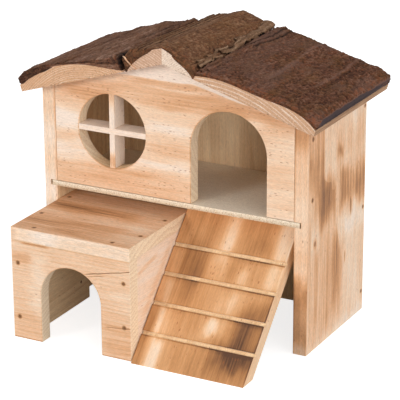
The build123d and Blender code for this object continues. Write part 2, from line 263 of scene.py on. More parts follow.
# Colours of flamed pine, from untouched to charred: on the boards, and where it is more golden
PINE = (
    (0.00, rgb(248, 229, 212)),
    (0.18, rgb(243, 211, 181)),
    (0.36, rgb(234, 189, 151)),
    (0.52, rgb(218, 164, 120)),
    (0.68, rgb(190, 136, 91)),
    (0.84, rgb(154, 108, 73)),
    (1.00, rgb(104, 70, 48)),
)
GOLDEN_PINE = (
    (0.00, rgb(246, 218, 190)),
    (0.18, rgb(240, 199, 158)),
    (0.36, rgb(224, 170, 121)),
    (0.52, rgb(205, 148, 97)),
    (0.68, rgb(178, 124, 77)),
    (0.84, rgb(142, 97, 62)),
    (1.00, rgb(92, 61, 42)),
)
PINE_END = rgb(251, 229, 199)  # cross-cut and sanded
PINE_END_PORE = rgb(214, 173, 131)
PINE_RAW = rgb(242, 212, 172)  # inside, where no flame came
PINE_RAW_LATE = rgb(208, 162, 112)
FLECK = rgb(160, 88, 48)

# A board: where its noise starts, how brown it is all over, its pith, the width of its rings,
# its burns, how many flecks it has, how far its patches wander across the grain, how cloudy it
# is, its colours, and how much of the grain its burns show. A burn is a patch that the flame has
# browned, or spared if its depth is below 0: its span along the grain and across it, the width
# over which it fades in each of those directions, and its depth.
Board = namedtuple(
    "Board", "seed tone pith spacing burns flecks wander cloud palette grain", defaults=(0.4, PINE, 1.0),
)


def growth_rings(g, board, a, c, d):
    """0 in the early wood, rising to 1 at each late-wood line; the pith is off to one side."""
    wander = g.noise(a / 110, c / 26, d / 26, board.seed, detail=1.0) * 9.0
    radius = g.distance(c - board.pith[0], d - board.pith[1]) + wander
    uneven = g.noise(radius / 7, 0.0, 0.0, board.seed + 9, detail=1.0) * 1.4
    phase = (radius / board.spacing + uneven).fraction()
    return phase.step(0.1, 0.85) * phase.step(1.0, 0.9)


def flame(g, board, a, c, rings):
    """How far the flame has browned the face, from 0 to 1."""
    billow = g.noise(a / 26, c / 11, 0.0, board.seed + 1, detail=3.0, rough=0.55)
    lick = g.noise(a / 18, c / 1.8, 0.0, board.seed + 3, detail=2.0)
    drift = g.noise(a / 30, c / 10, 0.0, board.seed + 2, detail=2.0)
    along = a + billow * 22.0 + lick * (board.wander * 1.2)
    across = c + drift * board.wander
    total = g.noise(a / 55, c / 13, 0.0, board.seed + 4, detail=3.0) * board.cloud + board.tone
    for length, breadth, fade_along, fade_across, depth in board.burns:
        patch = along.within(*length, fade_along) * across.within(*breadth, fade_across)
        total = total + patch * depth
    streak = g.noise(a / 34, c / 1.0, 0.0, board.seed + 10, detail=3.0, rough=0.6)
    return total + (rings - 0.4) * 0.06 + streak * (total.clamped() * 0.50 + 0.17) * board.grain**2


def flecks(g, board, a, c, d):
    """Short dark dashes along the grain, 1 in the middle of each."""
    reach, chance = g.cells(a / 3.6, c / 0.95, d / 0.95, board.seed + 5)
    rows = g.noise(a / 45, c / 3.0, 0.0, board.seed + 12, detail=1.0).step(-0.04, 0.10)
    size = chance.step(1.0 - board.flecks, 1.0 - board.flecks * 0.4) * rows * 0.30
    return (size - reach).step(0.0, 0.06)


def grain_axes(order):
    """Axes of a board, from their names along the grain, across it and through the board."""
    def axes(g):
        return (*(getattr(g, axis) for axis in order), abs(getattr(g, f"normal_{order[0]}")))
    return axes


def past(axis, start, stop):
    """0 before start on an axis, and 1 past stop."""
    return lambda g: getattr(g, axis).step(start, stop)


def pine(name, axes, skin, board, marks=None):
    """Flamed pine. axes gives the coordinates along, across and through the board, and the
    share of cross-cut in a face's direction; skin is 1 on faces that the flame has reached."""
    g = Graph(name)
    a, c, d, cut = axes(g)
    rings = growth_rings(g, board, a, c, d)
    reached = skin(g)
    char = flame(g, board, a, c, rings)
    if marks:
        char = marks(g, char)
    fibre = g.noise(a / 7, c / 0.5, d / 0.5, board.seed + 6, detail=3.0, rough=0.6)
    grit = g.noise(a / 2.4, c / 0.6, d / 0.6, board.seed + 7, detail=3.0, rough=0.75)
    flamed = g.ramp((char + fibre * 0.10).clamped(), board.palette)
    streak = g.noise(a / 50, c / 1.6, d / 1.6, board.seed + 11, detail=3.0)
    raw = g.blend((rings * 0.3 + streak * 0.9 + 0.1).clamped(), PINE_RAW, PINE_RAW_LATE)
    face = g.blend(reached, raw, flamed)
    dash = flecks(g, board, a, c, d) * cut.step(0.8, 0.5)
    face = g.blend(dash * 0.62, face, FLECK)
    pore, chance = g.cells(a / 1.1, c / 0.9, d / 0.9, board.seed + 8)
    speckle = pore.step(0.55, 0.15) * chance
    end = g.blend((speckle * 0.55 + rings * 0.3).clamped(), PINE_END, PINE_END_PORE)
    colour = g.blend(cut.step(0.45, 0.75), face, end)
    colour = g.lighten(colour, 1.0 + (fibre * 0.36 + grit * 0.60) * board.grain)
    height = fibre * 0.7 + grit * 0.7 + rings * 0.25 - dash * 0.25
    return g.finish(colour, 0.66 + grit * 0.3 - rings * 0.05, g.bump(height, 0.2), Specular_IOR_Level=0.3)


def rust_round(g, places, first, second, radius=1.25):
    """1 close round brads at these places, fading outside the radius."""
    nearest = None
    for place in places:
        gap = g.distance(first - place[0], second - place[1])
        nearest = gap if nearest is None else nearest.lowest(gap)
    return nearest.step(radius * 1.6, radius * 0.9)


def arch_gap(g, across, height, arch, straight):
    """Distance outwards from an opening's edge: a circle, or an arch on straight sides."""
    middle, spring, radius = arch
    rise = height - spring
    if straight:
        rise = rise.highest(0.0)
    return g.distance(across - middle, rise) - radius


PINE_LOOKS = {}  # what pine() takes for each node

# -------- front panel

FRONT_BURNS = (
    ((-84, 76), (145, 156), 30, 7, 0.26),
    ((-84, -40), (140, 150), 24, 8, 0.14),
    ((-30, 26), (157.5, 162), 20, 3, 0.16),
    ((-90, 14), (89, 101), 30, 10, 0.18),
    ((-60, -16), (94, 101), 24, 7, 0.06),
    ((-90, 14), (82, 90), 30, 5, 0.10),
    ((-19, 14), (113, 124), 16, 7, 0.15),
    ((-90, -70), (112, 122), 14, 7, 0.10),
    ((62, 90), (138, 147), 14, 8, 0.22),
    ((64, 90), (106, 120), 14, 8, 0.12),
    ((64, 90), (92, 98), 14, 5, 0.06),
    ((-92, -64), (122, 136), 14, 8, -0.16),
    ((-20, 16), (127, 136), 18, 6, -0.12),
    ((-90, 16), (103, 110), 20, 4, -0.08),
    ((-14, 22), (155.3, 157.2), 18, 2, -0.12),
)


def front_marks(g, char):
    """Scorched rims of the window and the doorway, the untouched strip under the roof, and painted shade
    just under the roof.
    """
    window = arch_gap(g, g.x, g.z, WINDOW, straight=False)
    door = arch_gap(g, g.x, g.z, DOOR, straight=True)
    patchy = g.noise(g.x / 9, g.z / 9, 0.0, 31) + 0.62
    low_left = (WINDOW[0] + WINDOW[1] - g.x - g.z).step(-14.0, 20.0)
    rim = window.step(1.0, 0.2) * (low_left * 0.42 + 0.08)
    rim = rim + door.step(1.0, 0.2) * (DOOR[0] - g.x).step(0.0, 20.0) * 0.46
    rim = rim + door.step(6.0, 0.0) * g.z.step(118.0, 140.0) * 0.08
    under_roof = RIDGE_Z - abs(g.x) * tan(PITCH) - g.z
    wander = g.noise(g.x / 26, g.z / 9, 0.0, 33) * 3.0
    by_ridge = g.x.step(-62.0, -12.0)
    # The second term is a painted shade line just under the roof; the next line browns the panel under the
    # left slope, partly as flame tone and partly as painted shade.
    strip = (under_roof + wander).step(6.0, 2.0) * by_ridge * 0.22 - under_roof.step(2.2, 0.4) * 0.24
    strip = strip - (under_roof + wander).step(8.0, 2.0) * (1.0 - by_ridge) * 0.28
    crown = (g.z + wander + g.x.step(10.0, 56.0) * 8.0).step(161.6, 162.6) * 0.34
    return char + rim * patchy - strip.highest(crown)


on_front = past("y", FRONT_Y + 0.8, FRONT_Y + 0.3)
PINE_LOOKS["front_panel"] = (
    "front_panel_pine", grain_axes("xzy"), on_front,
    Board(3, 0.185, (150.0, 46.0), 3.4, FRONT_BURNS, flecks=0.75, wander=8.0, cloud=0.36), front_marks,
)

# -------- side walls

RIGHT_BURNS = (
    ((108, 130), (-19, 3.5), 26, 3, 0.31),
    ((84, 110), (-12, 14), 16, 10, 0.18),
    ((80, 104), (-2, 20.5), 18, 9, 0.34),
    ((134, 156), (-22, 3), 16, 4, 0.13),
    ((76, 106), (24, 66), 18, 8, 0.18),
    ((82, 104), (27, 43), 12, 7, 0.29),
    ((82, 99), (46, 67), 16, 8, 0.31),
    ((114, 123), (22, 30), 9, 5, 0.29),
    ((110, 130), (22, 62), 22, 12, 0.16),
    ((10, 66), (6, 32), 26, 9, 0.18),
    ((20, 60), (16, 26), 24, 6, 0.16),
    ((20, 70), (-9, -4), 24, 2, 0.16),
    ((0, 26), (-16, 20), 20, 12, 0.10),
    ((76, 82), (42.5, 44.5), 4, 1.2, 0.39),
    ((43, 49), (34.8, 36.4), 4, 1.0, 0.39),
    ((138, 160), (3, 60), 14, 4, -0.08),
    ((60, 75), (24, 68), 10, 5, -0.14),
    ((82, 100), (-20, -9), 12, 5, -0.04),
    ((66, 80), (-14, -2), 12, 5, -0.14),
    ((104, 160), (62, 68), 20, 5, -0.16),
    ((-8, 5), (-20, 66), 8, 20, -0.12),
)
LEFT_BURNS = (
    ((96, 142), (-14, 18), 26, 9, 0.24),
    ((84, 112), (24, 52), 20, 10, 0.32),
    ((20, 70), (2, 26), 28, 9, 0.20),
    ((6, 40), (38, 60), 22, 9, 0.22),
    ((118, 144), (40, 62), 18, 10, 0.18),
)
WALL_BRADS = [(FRONT_PANEL_Y, z) for z in (99.0, 137.3)] + [(REAR_PANEL_Y, z) for z in (13.0, 70.6, 137.3)]
WALL_KNOT = (-9.0, 69.8)  # y and z


def heart_line(g):
    """How far a place lies on the darker side of the line that the heartwood makes in the wall."""
    ragged = g.noise(g.z / 9, g.y / 30, 0.0, 61, detail=2.0) * 3.0
    line = g.z.step(109.0, 96.0) * 14.5 + 3.1
    line = line + (g.z + ragged * 0.5).step(103.5, 102.5) * 3.2 + g.z.step(82.0, 40.0) * 10.5
    line = line - g.z.within(96.0, 104.0, 2.0) * g.y.within(14.0, 18.5, 1.5) * 5.0
    return line + ragged * 0.3 - g.y


def wall_marks(side):
    """Scorch up the wall's front edge, a knot, and rust round the brads."""
    def marks(g, char):
        if side > 0:
            char = char + heart_line(g).step(-0.5, 0.7) * g.z.step(4.0, 44.0) * 0.13
        edge = g.y.step(FRONT_Y + 1.0, FRONT_Y)
        blotch = g.noise(g.x / 6, g.z / 12, 0.0, 63, detail=2.0)
        for low, high, fade, depth in ((130, 156, 24, 0.12), (2, 46, 22, 0.38)):
            char = char + edge * ((g.z + blotch * 20).within(low, high, fade) * depth)
        arris = g.x.step(side * (WALL_INNER_X + 1.6), side * (WALL_INNER_X + 0.4))
        char = char + edge * arris * 0.16 - edge * (0.08 if side > 0 else 0.14)
        if side > 0:
            knot = g.distance((g.y - WALL_KNOT[0]) / 1.6, (g.z - WALL_KNOT[1]) / 1.9)
            halo = knot.step(2.6, 1.2) * 0.16 + knot.step(1.15, 0.6) * 0.34
            char = char + halo
        return char + rust_round(g, WALL_BRADS, g.y, g.z) * 0.38
    return marks


def wall_look(name, side, board):
    """A side wall, flamed outside and on its front edge."""
    def skin(g):
        outside = (g.x * side).step(WALL_X - 1.5, WALL_X - 0.5)
        return outside.highest(g.y.step(FRONT_Y + 0.8, FRONT_Y + 0.2))
    return name, grain_axes("zyx"), skin, board, wall_marks(side)


BACK_BURNS = (
    ((90, 140), (-60, -22), 26, 12, 0.28),
    ((30, 84), (8, 44), 30, 12, 0.26),
    ((110, 160), (20, 70), 26, 14, 0.22),
    ((6, 30), (-70, -20), 20, 14, 0.24),
)
PINE_LOOKS["back_panel"] = (
    "back_panel_pine", grain_axes("zxy"), past("y", REAR_Y - 0.8, REAR_Y - 0.3),
    Board(23, 0.22, (10.0, 110.0), 4.2, BACK_BURNS, flecks=0.08, wander=9.0, cloud=0.45),
)
PINE_LOOKS["left_wall"] = wall_look(
    "left_wall_pine", -1,
    Board(17, 0.24, (6.0, -44.0), 3.8, LEFT_BURNS, flecks=0.12, wander=8.0, cloud=0.4, grain=1.4),
)
PINE_LOOKS["right_wall"] = wall_look(
    "right_wall_pine", 1,
    Board(11, 0.22, (31.0, 40.0), 3.6, RIGHT_BURNS, flecks=0.12, wander=3.0, cloud=0.3, grain=1.4),
)

# -------- annex

ANNEX_TOP_BURNS = (
    ((-90, -24), (-33, -21), 34, 12, 0.22),
    ((-90, -46), (-32, -24), 30, 6, 0.14),
    ((-30, 0), (-36, -24), 24, 8, 0.10),
    ((-92, -52), (-61, -52), 30, 10, 0.24),
    ((-56, -38), (-68.5, -63.5), 16, 6, 0.16),
    ((-92, -20), (-72, -50), 40, 10, 0.08),
    ((-50, -14), (-57, -50), 26, 6, 0.08),
    ((-92, -30), (-43, -36), 30, 5, -0.08),
    ((-44, -2), (-47, -42), 24, 5, -0.12),
    ((-18, 4), (-66, -22), 16, 14, -0.10),
)
ANNEX_FRONT_BURNS = (
    ((-84, -66), (50, 57), 12, 5, 0.18),
    ((-84, -62), (2, 24), 14, 12, 0.08),
    ((-20, 4), (15, 22), 14, 5, 0.14),
    ((-20, 4), (2, 12), 14, 5, 0.16),
    ((-60, -4), (56, 63), 24, 5, 0.06),
    ((-20, -4), (26, 40), 14, 6, 0.06),
    ((-68, -58), (16, 58), 8, 10, -0.14),
    ((-56, -30), (57, 64), 14, 4, -0.06),
    ((-10, 4), (40, 46), 10, 4, -0.08),
)
ANNEX_FRONT_BRADS = ((-78.2, 14.3), (-78.2, 50.1), (-3.2, 21.4), (-3.2, 50.1))
ANNEX_TOP_BRADS = (
    (-68.4, -70.75), (-13.0, -70.75), (-78.2, -46.65), (-78.2, -13.35), (-3.2, -53.85), (-3.2, -23.35),
)


def annex_front_marks(g, char):
    """Thin dark cracks beside the arch, its rim, and the darkened foot."""
    ripple = g.noise(g.x / 6, 0.0, 0.0, 39) * 0.8
    first = g.z - 57.9 - g.x * 0.215 - ripple
    second = g.z - 55.6 - g.x * 0.19 + ripple
    crack = abs(first).step(0.40, 0.1) * g.x.within(-30, 6, 8) * 0.62
    crack = crack + abs(second).step(0.32, 0.1) * g.x.within(-28, -17, 5) * 0.42
    low = g.z - 21.0 - g.x * 0.1 - ripple
    crack = crack + abs(low).step(0.4, 0.1) * g.x.within(-17, 2, 6) * 0.3
    rim = arch_gap(g, g.x, g.z, ANNEX_ARCH, straight=True).step(0.8, 0.1) * 0.2
    foot = g.z.step(1.2, 0.3) * 0.3
    top = g.z.step(62.6, 63.6) * g.x.within(-75, -56, 6) * 0.3
    char = char + crack + rim + foot + top
    return char + rust_round(g, ANNEX_FRONT_BRADS, g.x, g.z) * 0.34


def annex_top_marks(g, char):
    """The top board's paler front edge, its scorched arris, and rust round the brads."""
    front_edge = abs(g.normal_y).step(0.5, 0.9)
    streaks = g.noise(g.x / 30, g.z / 1.4, 0.0, 45, detail=3.0) * 0.24
    edge_tone = 0.15 - g.x.within(-68, -50, 12) * 0.1 + g.x.step(-76, -82) * 0.1 + streaks
    lower = g.z.step(ANNEX_TOP_Z - 7.9, ANNEX_TOP_Z - 8.7) * g.x.within(-78, -58, 8) * 0.4
    char = char * (1.0 - front_edge) + front_edge * (edge_tone + lower)
    arris = g.z.step(ANNEX_TOP_Z - 0.6, ANNEX_TOP_Z - 0.1) * g.y.step(ANNEX_FRONT_Y + 0.7, ANNEX_FRONT_Y)
    return char + arris * 0.10 + rust_round(g, ANNEX_TOP_BRADS, g.x, g.y) * 0.3


def annex_right_marks(g, char):
    """Two orange streaks that the flame left beside the ramp."""
    climb = g.z - 53.6 - (g.y + 63.5) * 0.22
    first = abs(climb).step(2.6, 0.4) * g.y.within(-66, -42, 8)
    slope = g.z - (g.y - RAMP_FOOT_Y) * tan(RAMP_ANGLE)
    second = slope.within(2.0, 9.0, 7.0) * g.z.within(24.0, 60.0, 10.0)
    return char + first * 0.18 + second * 0.14


ANNEX_LEFT_BURNS = (
    ((-66, -20), (40, 60), 30, 9, 0.22),
    ((-60, -36), (6, 22), 20, 8, 0.24),
    ((-30, 0), (18, 40), 20, 10, 0.20),
)
PINE_LOOKS["annex_front"] = (
    "annex_front_pine", grain_axes("xzy"), past("y", ANNEX_FRONT_Y + 1.2, ANNEX_FRONT_Y + 0.4),
    Board(29, 0.29, (-60.0, -50.0), 2.6, ANNEX_FRONT_BURNS, flecks=0.10, wander=5.0, cloud=0.3),
    annex_front_marks,
)
PINE_LOOKS["annex_top"] = (
    "annex_top_pine", grain_axes("xyz"), past("z", ANNEX_TOP_Z - 8.8, ANNEX_TOP_Z - 8.2),
    Board(37, 0.38, (-20.0, -30.0), 4.2, ANNEX_TOP_BURNS, flecks=0.12, wander=6.0, cloud=0.34, grain=1.4),
    annex_top_marks,
)
PINE_LOOKS["annex_left_side"] = (
    "annex_left_pine", grain_axes("yzx"), past("x", ANNEX_LEFT_X + 1.2, ANNEX_LEFT_X + 0.4),
    Board(43, 0.26, (30.0, -40.0), 3.6, ANNEX_LEFT_BURNS, flecks=0.05, wander=7.0),
)
PINE_LOOKS["annex_right_side"] = (
    "annex_right_pine", grain_axes("yzx"), past("x", ANNEX_RIGHT_X - 1.2, ANNEX_RIGHT_X - 0.4),
    Board(47, 0.10, (10.0, 36.0), 4.0, (), flecks=0.05, wander=6.0, cloud=0.3), annex_right_marks,
)

# -------- ramp

RAMP_BURNS = (
    ((86, 120), (4, 28), 22, 9, 0.20),
    ((88, 120), (44, 64), 22, 10, 0.18),
    ((82, 93), (50, 66), 10, 9, 0.18),
    ((60, 84), (10, 28), 18, 8, 0.34),
    ((40, 62), (12, 26), 18, 8, 0.22),
    ((60, 84), (44, 64), 18, 10, 0.16),
    ((24, 66), (18, 40), 26, 14, 0.16),
    ((38, 54), (60, 84), 16, 14, 0.36),
    ((12, 40), (58, 84), 20, 18, 0.38),
    ((22, 38), (62, 72), 10, 8, 0.18),
    ((-4, 20), (44, 84), 22, 20, 0.30),
    ((10, 20), (52, 74), 8, 12, 0.14),
    ((-4, 20), (24, 44), 16, 10, 0.14),
    ((-4, 44), (-2, 7), 20, 4, 0.22),
    ((44, 116), (-2, 4.5), 20, 4, 0.10),
    ((80, 96), (33, 41), 18, 6, -0.24),
    ((94, 112), (33, 40), 14, 7, -0.08),
    ((62, 72), (50, 57), 8, 6, -0.22),
    ((46, 58), (50, 56), 10, 7, -0.10),
    ((24, 36), (41, 49), 10, 8, -0.34),
    ((-4, 20), (11, 18), 12, 5, -0.36),
    ((22, 40), (9, 12.5), 16, 3, -0.22),
    ((40, 60), (4, 10), 16, 4, -0.12),
    ((84, 120), (68, 82), 16, 8, -0.26),
    ((62, 82), (69, 80), 14, 6, -0.14),
)


def ramp_axes(g):
    """Along the ramp's slope, across it, and the depth below its surface."""
    run = g.y - RAMP_FOOT_Y
    along = run * cos(RAMP_ANGLE) + g.z * sin(RAMP_ANGLE)
    depth = run * sin(RAMP_ANGLE) - g.z * cos(RAMP_ANGLE)
    cut = abs(g.normal_y * cos(RAMP_ANGLE) + g.normal_z * sin(RAMP_ANGLE))
    return along, g.x, depth, cut


def ramp_marks(g, char):
    """Scorched lips of the grooves, darker to the right, and the burnt right-hand edge."""
    along, _, depth, _ = ramp_axes(g)
    ragged = g.noise(g.x / 1.1, along / 3.0, 0.0, 53, detail=2.0) * 0.9
    right = g.x.step(20.0, 76.0)
    for groove in GROOVES:
        below = (groove - GROOVE_WIDTH / 2 - along + ragged).within(-0.2, 0.9, 0.6)
        above = (along - groove - GROOVE_WIDTH / 2 + ragged).within(-0.2, 0.6, 0.6)
        char = char + below * (right * 0.22 + 0.20) + above * 0.14
        haze = (groove - GROOVE_WIDTH / 2 - along).within(0.0, 2.5, 3.0)
        char = char + haze * (right * 0.10 + 0.03)
    edge = g.x.step(RAMP_X[1] - 1.6, RAMP_X[1] - 0.1) * along.within(2.0, 62.0, 10.0) * 0.34
    side_face = g.normal_x.step(0.5, 0.9)
    pale_side = 0.16 + g.noise(along / 20, depth / 3, 0.0, 57, detail=2.0) * 0.3
    char = char + edge + g.x.step(RAMP_X[0] + 1.0, RAMP_X[0]) * 0.12
    return char * (1.0 - side_face) + side_face * pale_side


def ramp_skin(g):
    return ramp_axes(g)[2].step(1.1, 0.5).highest(g.normal_x.step(0.5, 0.9))


RAMP = Board(
    59, 0.335, (44.0, 52.0), 4.4, RAMP_BURNS, flecks=0.5, wander=2.5, cloud=0.32, palette=GOLDEN_PINE,
    grain=0.85,
)
PINE_LOOKS["ramp_board"] = ("ramp_pine", ramp_axes, ramp_skin, RAMP, ramp_marks)

# -------- window bars

BAR_END_BURNS = (
    ((98, 108), (-60, -20), 8, 4, 0.40),
    ((141, 152), (-60, -20), 8, 4, 0.34),
)


def everywhere(g):
    """A skin of 1 on every face."""
    return g.y * 0.0 + 1.0


def bar_marks(g, char):
    return char * on_front(g)


def bar_look(name, order, seed, burns):
    """A slender bar, cream, browned only on its front."""
    board = Board(seed, 0.03, (20.0, 60.0), 3.0, burns, flecks=0.03, wander=3.0, cloud=0.2)
    return name, grain_axes(order), everywhere, board, bar_marks


PINE_LOOKS["window_bar_vertical"] = bar_look("upright_bar_pine", "zxy", 67, BAR_END_BURNS)
PINE_LOOKS["window_bar_horizontal"] = bar_look("lying_bar_pine", "xzy", 71, ())

# ---------------- other materials

PLY_EDGES = (rgb(247, 231, 206), rgb(188, 150, 110))  # the plies' cut edges, and their dark pores
PLY_FACES = (rgb(252, 242, 224), rgb(234, 216, 190))  # sanded faces, and their grain
LOG_PORE = rgb(158, 112, 78)
LOG_LOW_EDGE = rgb(120, 84, 56)
LOG_SIDES = (rgb(128, 88, 62), rgb(206, 166, 130))  # layers of a slab's sawn side at the eave
BRAD_STEEL = (rgb(116, 80, 52), rgb(168, 124, 88))
BRAD_RUST = rgb(98, 62, 38)
NAIL_CRUST = (rgb(52, 36, 28), rgb(104, 66, 42))
NAIL_STEEL = rgb(92, 84, 78)


def plywood():
    """Three plies: pale faces, a cross-cut core, and a sanded speckle all over."""
    g = Graph("floor_plywood")
    core = g.z.within(PLATE_Z[0] + 1.0, PLATE_Z[1] - 0.9, 0.25)
    speck, chance = g.cells(g.x, g.y, g.z / 0.7, 5)
    grain = g.noise(g.x / 7, g.y / 0.6, g.z / 0.4, 7, detail=3.0)
    sand = g.noise(g.x / 0.9, g.y / 0.9, g.z / 0.9, 9, detail=3.0, rough=0.75)
    edge = abs(g.normal_z).step(0.6, 0.2)
    bottom = g.z.step(PLATE_Z[0] + 1.7, PLATE_Z[0] + 0.3) * 0.55
    dark = (speck.step(0.6, 0.15) * chance * 0.8 + core * 0.2 + grain * 0.6 + bottom).clamped()
    side = g.blend(dark, *PLY_EDGES)
    flat = g.blend((grain + 0.35).clamped(), *PLY_FACES)
    colour = g.lighten(g.blend(edge, flat, side), 1.0 + sand * 0.65)
    normal = g.bump(grain + sand + speck * 0.4, 0.15)
    return g.finish(colour, 0.7 + grain * 0.2, normal, Specular_IOR_Level=0.3)


def slope_axes(g, side):
    """u and w of a place on the left slope, side -1, or on the right one, side 1."""
    drop = RIDGE_Z - g.z
    u = g.x * (side * cos(PITCH)) + drop * sin(PITCH)
    w = g.x * (side * sin(PITCH)) - drop * cos(PITCH)
    return u, w


# A log slab's wood: its slope, the u and w of the log's heart, how far its rings stray from round,
# their width, how much of that is the pale line, and the colours of the wood and of the line.
LogCut = namedtuple("LogCut", "side heart wander spacing share wood line seed")
LOG_CUTS = {
    "left": LogCut(-1, (66.0, -46.0), 2.4, 1.3, 0.30, rgb(213, 164, 125), rgb(240, 212, 184), 81),
    "ridge_left": LogCut(-1, (60.0, -52.0), 2.6, 1.5, 0.32, rgb(205, 163, 134), rgb(238, 209, 184), 107),
    "ridge_right": LogCut(1, (38.0, -20.0), 3.0, 1.2, 0.34, rgb(232, 205, 182), rgb(248, 232, 216), 87),
    "right": LogCut(1, (54.0, -96.0), 1.6, 2.2, 0.22, rgb(208, 164, 130), rgb(250, 234, 216), 89),
}


def log_wood(place):
    """Wood of a log slab: rings round the log's heart, thin pale lines between tan growths."""
    cut = LOG_CUTS[place]
    g = Graph(f"log_wood_{place}")
    u, w = slope_axes(g, cut.side)
    wander = g.noise(u / 26, w / 16, g.y / 90, cut.seed) * cut.wander
    ripple = g.noise(u / 2.0, w / 2.0, g.y / 20, cut.seed + 5) * 0.45
    radius = g.distance(u - cut.heart[0], w - cut.heart[1]) + wander + ripple
    uneven = g.noise(radius / 3.2, 0.0, 0.0, cut.seed + 1, detail=2.0) * 1.5
    phase = (radius / cut.spacing + uneven).fraction()
    line = phase.within(0.3, 0.3 + cut.share, 0.30)
    patch = (g.noise(u / 10, w / 2.5, g.y / 20, cut.seed + 6, detail=2.0) * 2.2 + 0.55).highest(0.4)
    saw = g.noise(u / 0.6, w / 2.0, g.y / 6, cut.seed + 2, detail=3.0, rough=0.65)
    sand = g.noise(u / 0.8, w / 0.8, g.y / 1.5, cut.seed + 7, detail=3.0, rough=0.75)
    speck, chance = g.cells(u / 0.9, w / 0.9, g.y / 1.4, cut.seed + 3)
    colour = g.blend((line * patch + saw * 0.5).clamped(), cut.wood, cut.line)
    end = abs(g.normal_y).step(0.4, 0.8)
    colour = g.blend(speck.step(0.55, 0.1) * chance * end * 0.7, colour, LOG_PORE)
    ragged = g.noise(u / 1.5, g.y / 4, 0.0, cut.seed + 4)
    low_edge = w.step(1.3, 0.2) * (ragged + 0.1).step(0.1, 0.3)
    colour = g.blend(low_edge * end * 0.6, colour, LOG_LOW_EDGE)
    eave = u.step(EAVE_U - 2.0, EAVE_U - 1.0)
    layer = g.noise(u / 6, w / 0.45, g.y / 16, cut.seed + 8, detail=3.0)
    side_tone = g.blend((layer * 1.6 + 0.45).clamped(), *LOG_SIDES)
    colour = g.blend(eave * (1.0 - end), colour, side_tone)
    colour = g.lighten(colour, saw * 0.24 + sand * 0.50 + 1.0)
    normal = g.bump(line * 0.3 + saw + sand, 0.18)
    return g.finish(colour, 0.72 + saw * 0.2, normal, Specular_IOR_Level=0.25)


def brad_steel():
    """Steel wire gone dull and brown, with darker rust in blotches."""
    g = Graph("brad_steel")
    scratch = g.noise(g.x / 0.25, g.y / 0.25, g.z / 0.25, 91, detail=3.0)
    rust = g.noise(g.x / 0.7, g.y / 0.7, g.z / 0.7, 93, detail=2.0)
    colour = g.blend((scratch + 0.5).clamped(), *BRAD_STEEL)
    colour = g.blend((rust * 2.2 + 0.45).clamped(), colour, BRAD_RUST)
    return g.finish(colour, 0.6 + scratch * 0.3, g.bump(scratch + rust, 0.06), Specular_IOR_Level=0.2)


def rusty_steel():
    """The roof nails' steel: rough rust, nearly as dark as the bark that they sit in."""
    g = Graph("rusty_steel")
    crust = g.noise(g.x / 0.5, g.y / 0.5, g.z / 0.5, 95, detail=3.0, rough=0.7)
    blotch = g.noise(g.x / 1.2, g.y / 1.2, g.z / 1.2, 97, detail=2.0)
    colour = g.blend((crust * 1.6 + 0.5).clamped(), *NAIL_CRUST)
    colour = g.blend((blotch * 3.0).clamped() * 0.6, colour, NAIL_STEEL)
    return g.finish(colour, 0.75 + crust * 0.3, g.bump(crust, 0.12), Metallic=0.25)


# ---------------- bark colours

# Colours of each kind of bark: in its pits, between, on its crumbs, and where it turns to olive
BARK_TONES = {
    "left": (rgb(62, 37, 26), rgb(124, 87, 67), rgb(172, 138, 118), rgb(114, 77, 52)),
    "ridge": (rgb(62, 37, 23), rgb(114, 77, 53), rgb(168, 130, 98), rgb(112, 76, 46)),
    "right": (rgb(52, 28, 18), rgb(101, 65, 47), rgb(148, 108, 88), rgb(102, 68, 38)),
    "curl": (rgb(62, 40, 28), rgb(126, 95, 71), rgb(188, 156, 126), rgb(124, 90, 64)),
}
SLATE = rgb(122, 92, 80)
SLATE_FACE = rgb(70, 58, 58)  # the smooth layer along the right-hand eave
RUST = rgb(142, 78, 46)
# Near-black painted shade for cracks, gaps and the undersides of lifted bark
PAINTED_BARK_SHADE = rgb(22, 13, 10)


def bark_material(kind):
    """Bark, coloured by what its relief says: painted shade in cracks, gaps and pits, slate on ridges, rust
    where broken.
    """
    g = Graph(f"bark_{kind}")
    dark, middle, light, olive = BARK_TONES[kind]
    tone, cavity, slate, rust = (g.attribute(name) for name in ("tone", "cavity", "slate", "rust"))
    u, w = slope_axes(g, -1 if kind == "left" else 1)
    fine = g.noise(u / 0.7, g.y / 1.0, w / 0.7, 101, detail=3.0, rough=0.7)
    streak = g.noise(u / 1.1, g.y / 9, w / 1.1, 107, detail=3.0, rough=0.6)
    blotch = g.noise(u / 6, g.y / 14, w / 6, 103, detail=3.0)
    patch = g.noise(u / 9, g.y / 20, w / 9, 109, detail=2.0)
    reach, chance = g.cells(u / 1.25, g.y / 1.9, w / 1.25, 105)
    crumb = (chance - 0.5) * reach.step(0.75, 0.3)
    value = tone + fine * 0.75 + crumb * 0.28 + streak * 0.45 + blotch * 0.35
    colour = g.ramp(value.clamped(), ((0.0, dark), (0.5, middle), (1.0, light)))
    mossy = g.lighten(olive, value * 0.9 + 0.5)
    colour = g.blend((patch * 3.0 + streak + 0.3).clamped() * 0.75, colour, mossy)
    colour = g.blend((slate + fine * 0.3 + streak * 0.5 - 0.1).clamped() * 0.7, colour, SLATE)
    on_face = (slate - 1.0).clamped()
    colour = g.blend(on_face, colour, g.lighten(SLATE_FACE, 1.0 + fine * 0.5 + streak * 0.4))
    speck = (rust + (chance - 0.78) * 1.6 + fine * 0.9).clamped() * 0.65
    colour = g.blend(speck * (2.0 - slate).clamped(), colour, RUST)
    # Painted shade: the relief's shade value and the borders between crumbs turn the colour toward near
    # black.
    colour = g.blend((cavity + reach.step(0.72, 0.95) * 0.3).clamped(), colour, PAINTED_BARK_SHADE)
    height = (fine + crumb * 0.7 + streak * 0.4) * (2.0 - slate).clamped()
    return g.finish(colour, 0.88 + fine * 0.15, g.bump(height, 0.55), Specular_IOR_Level=0.18)


# ---------------- random fields for the bark


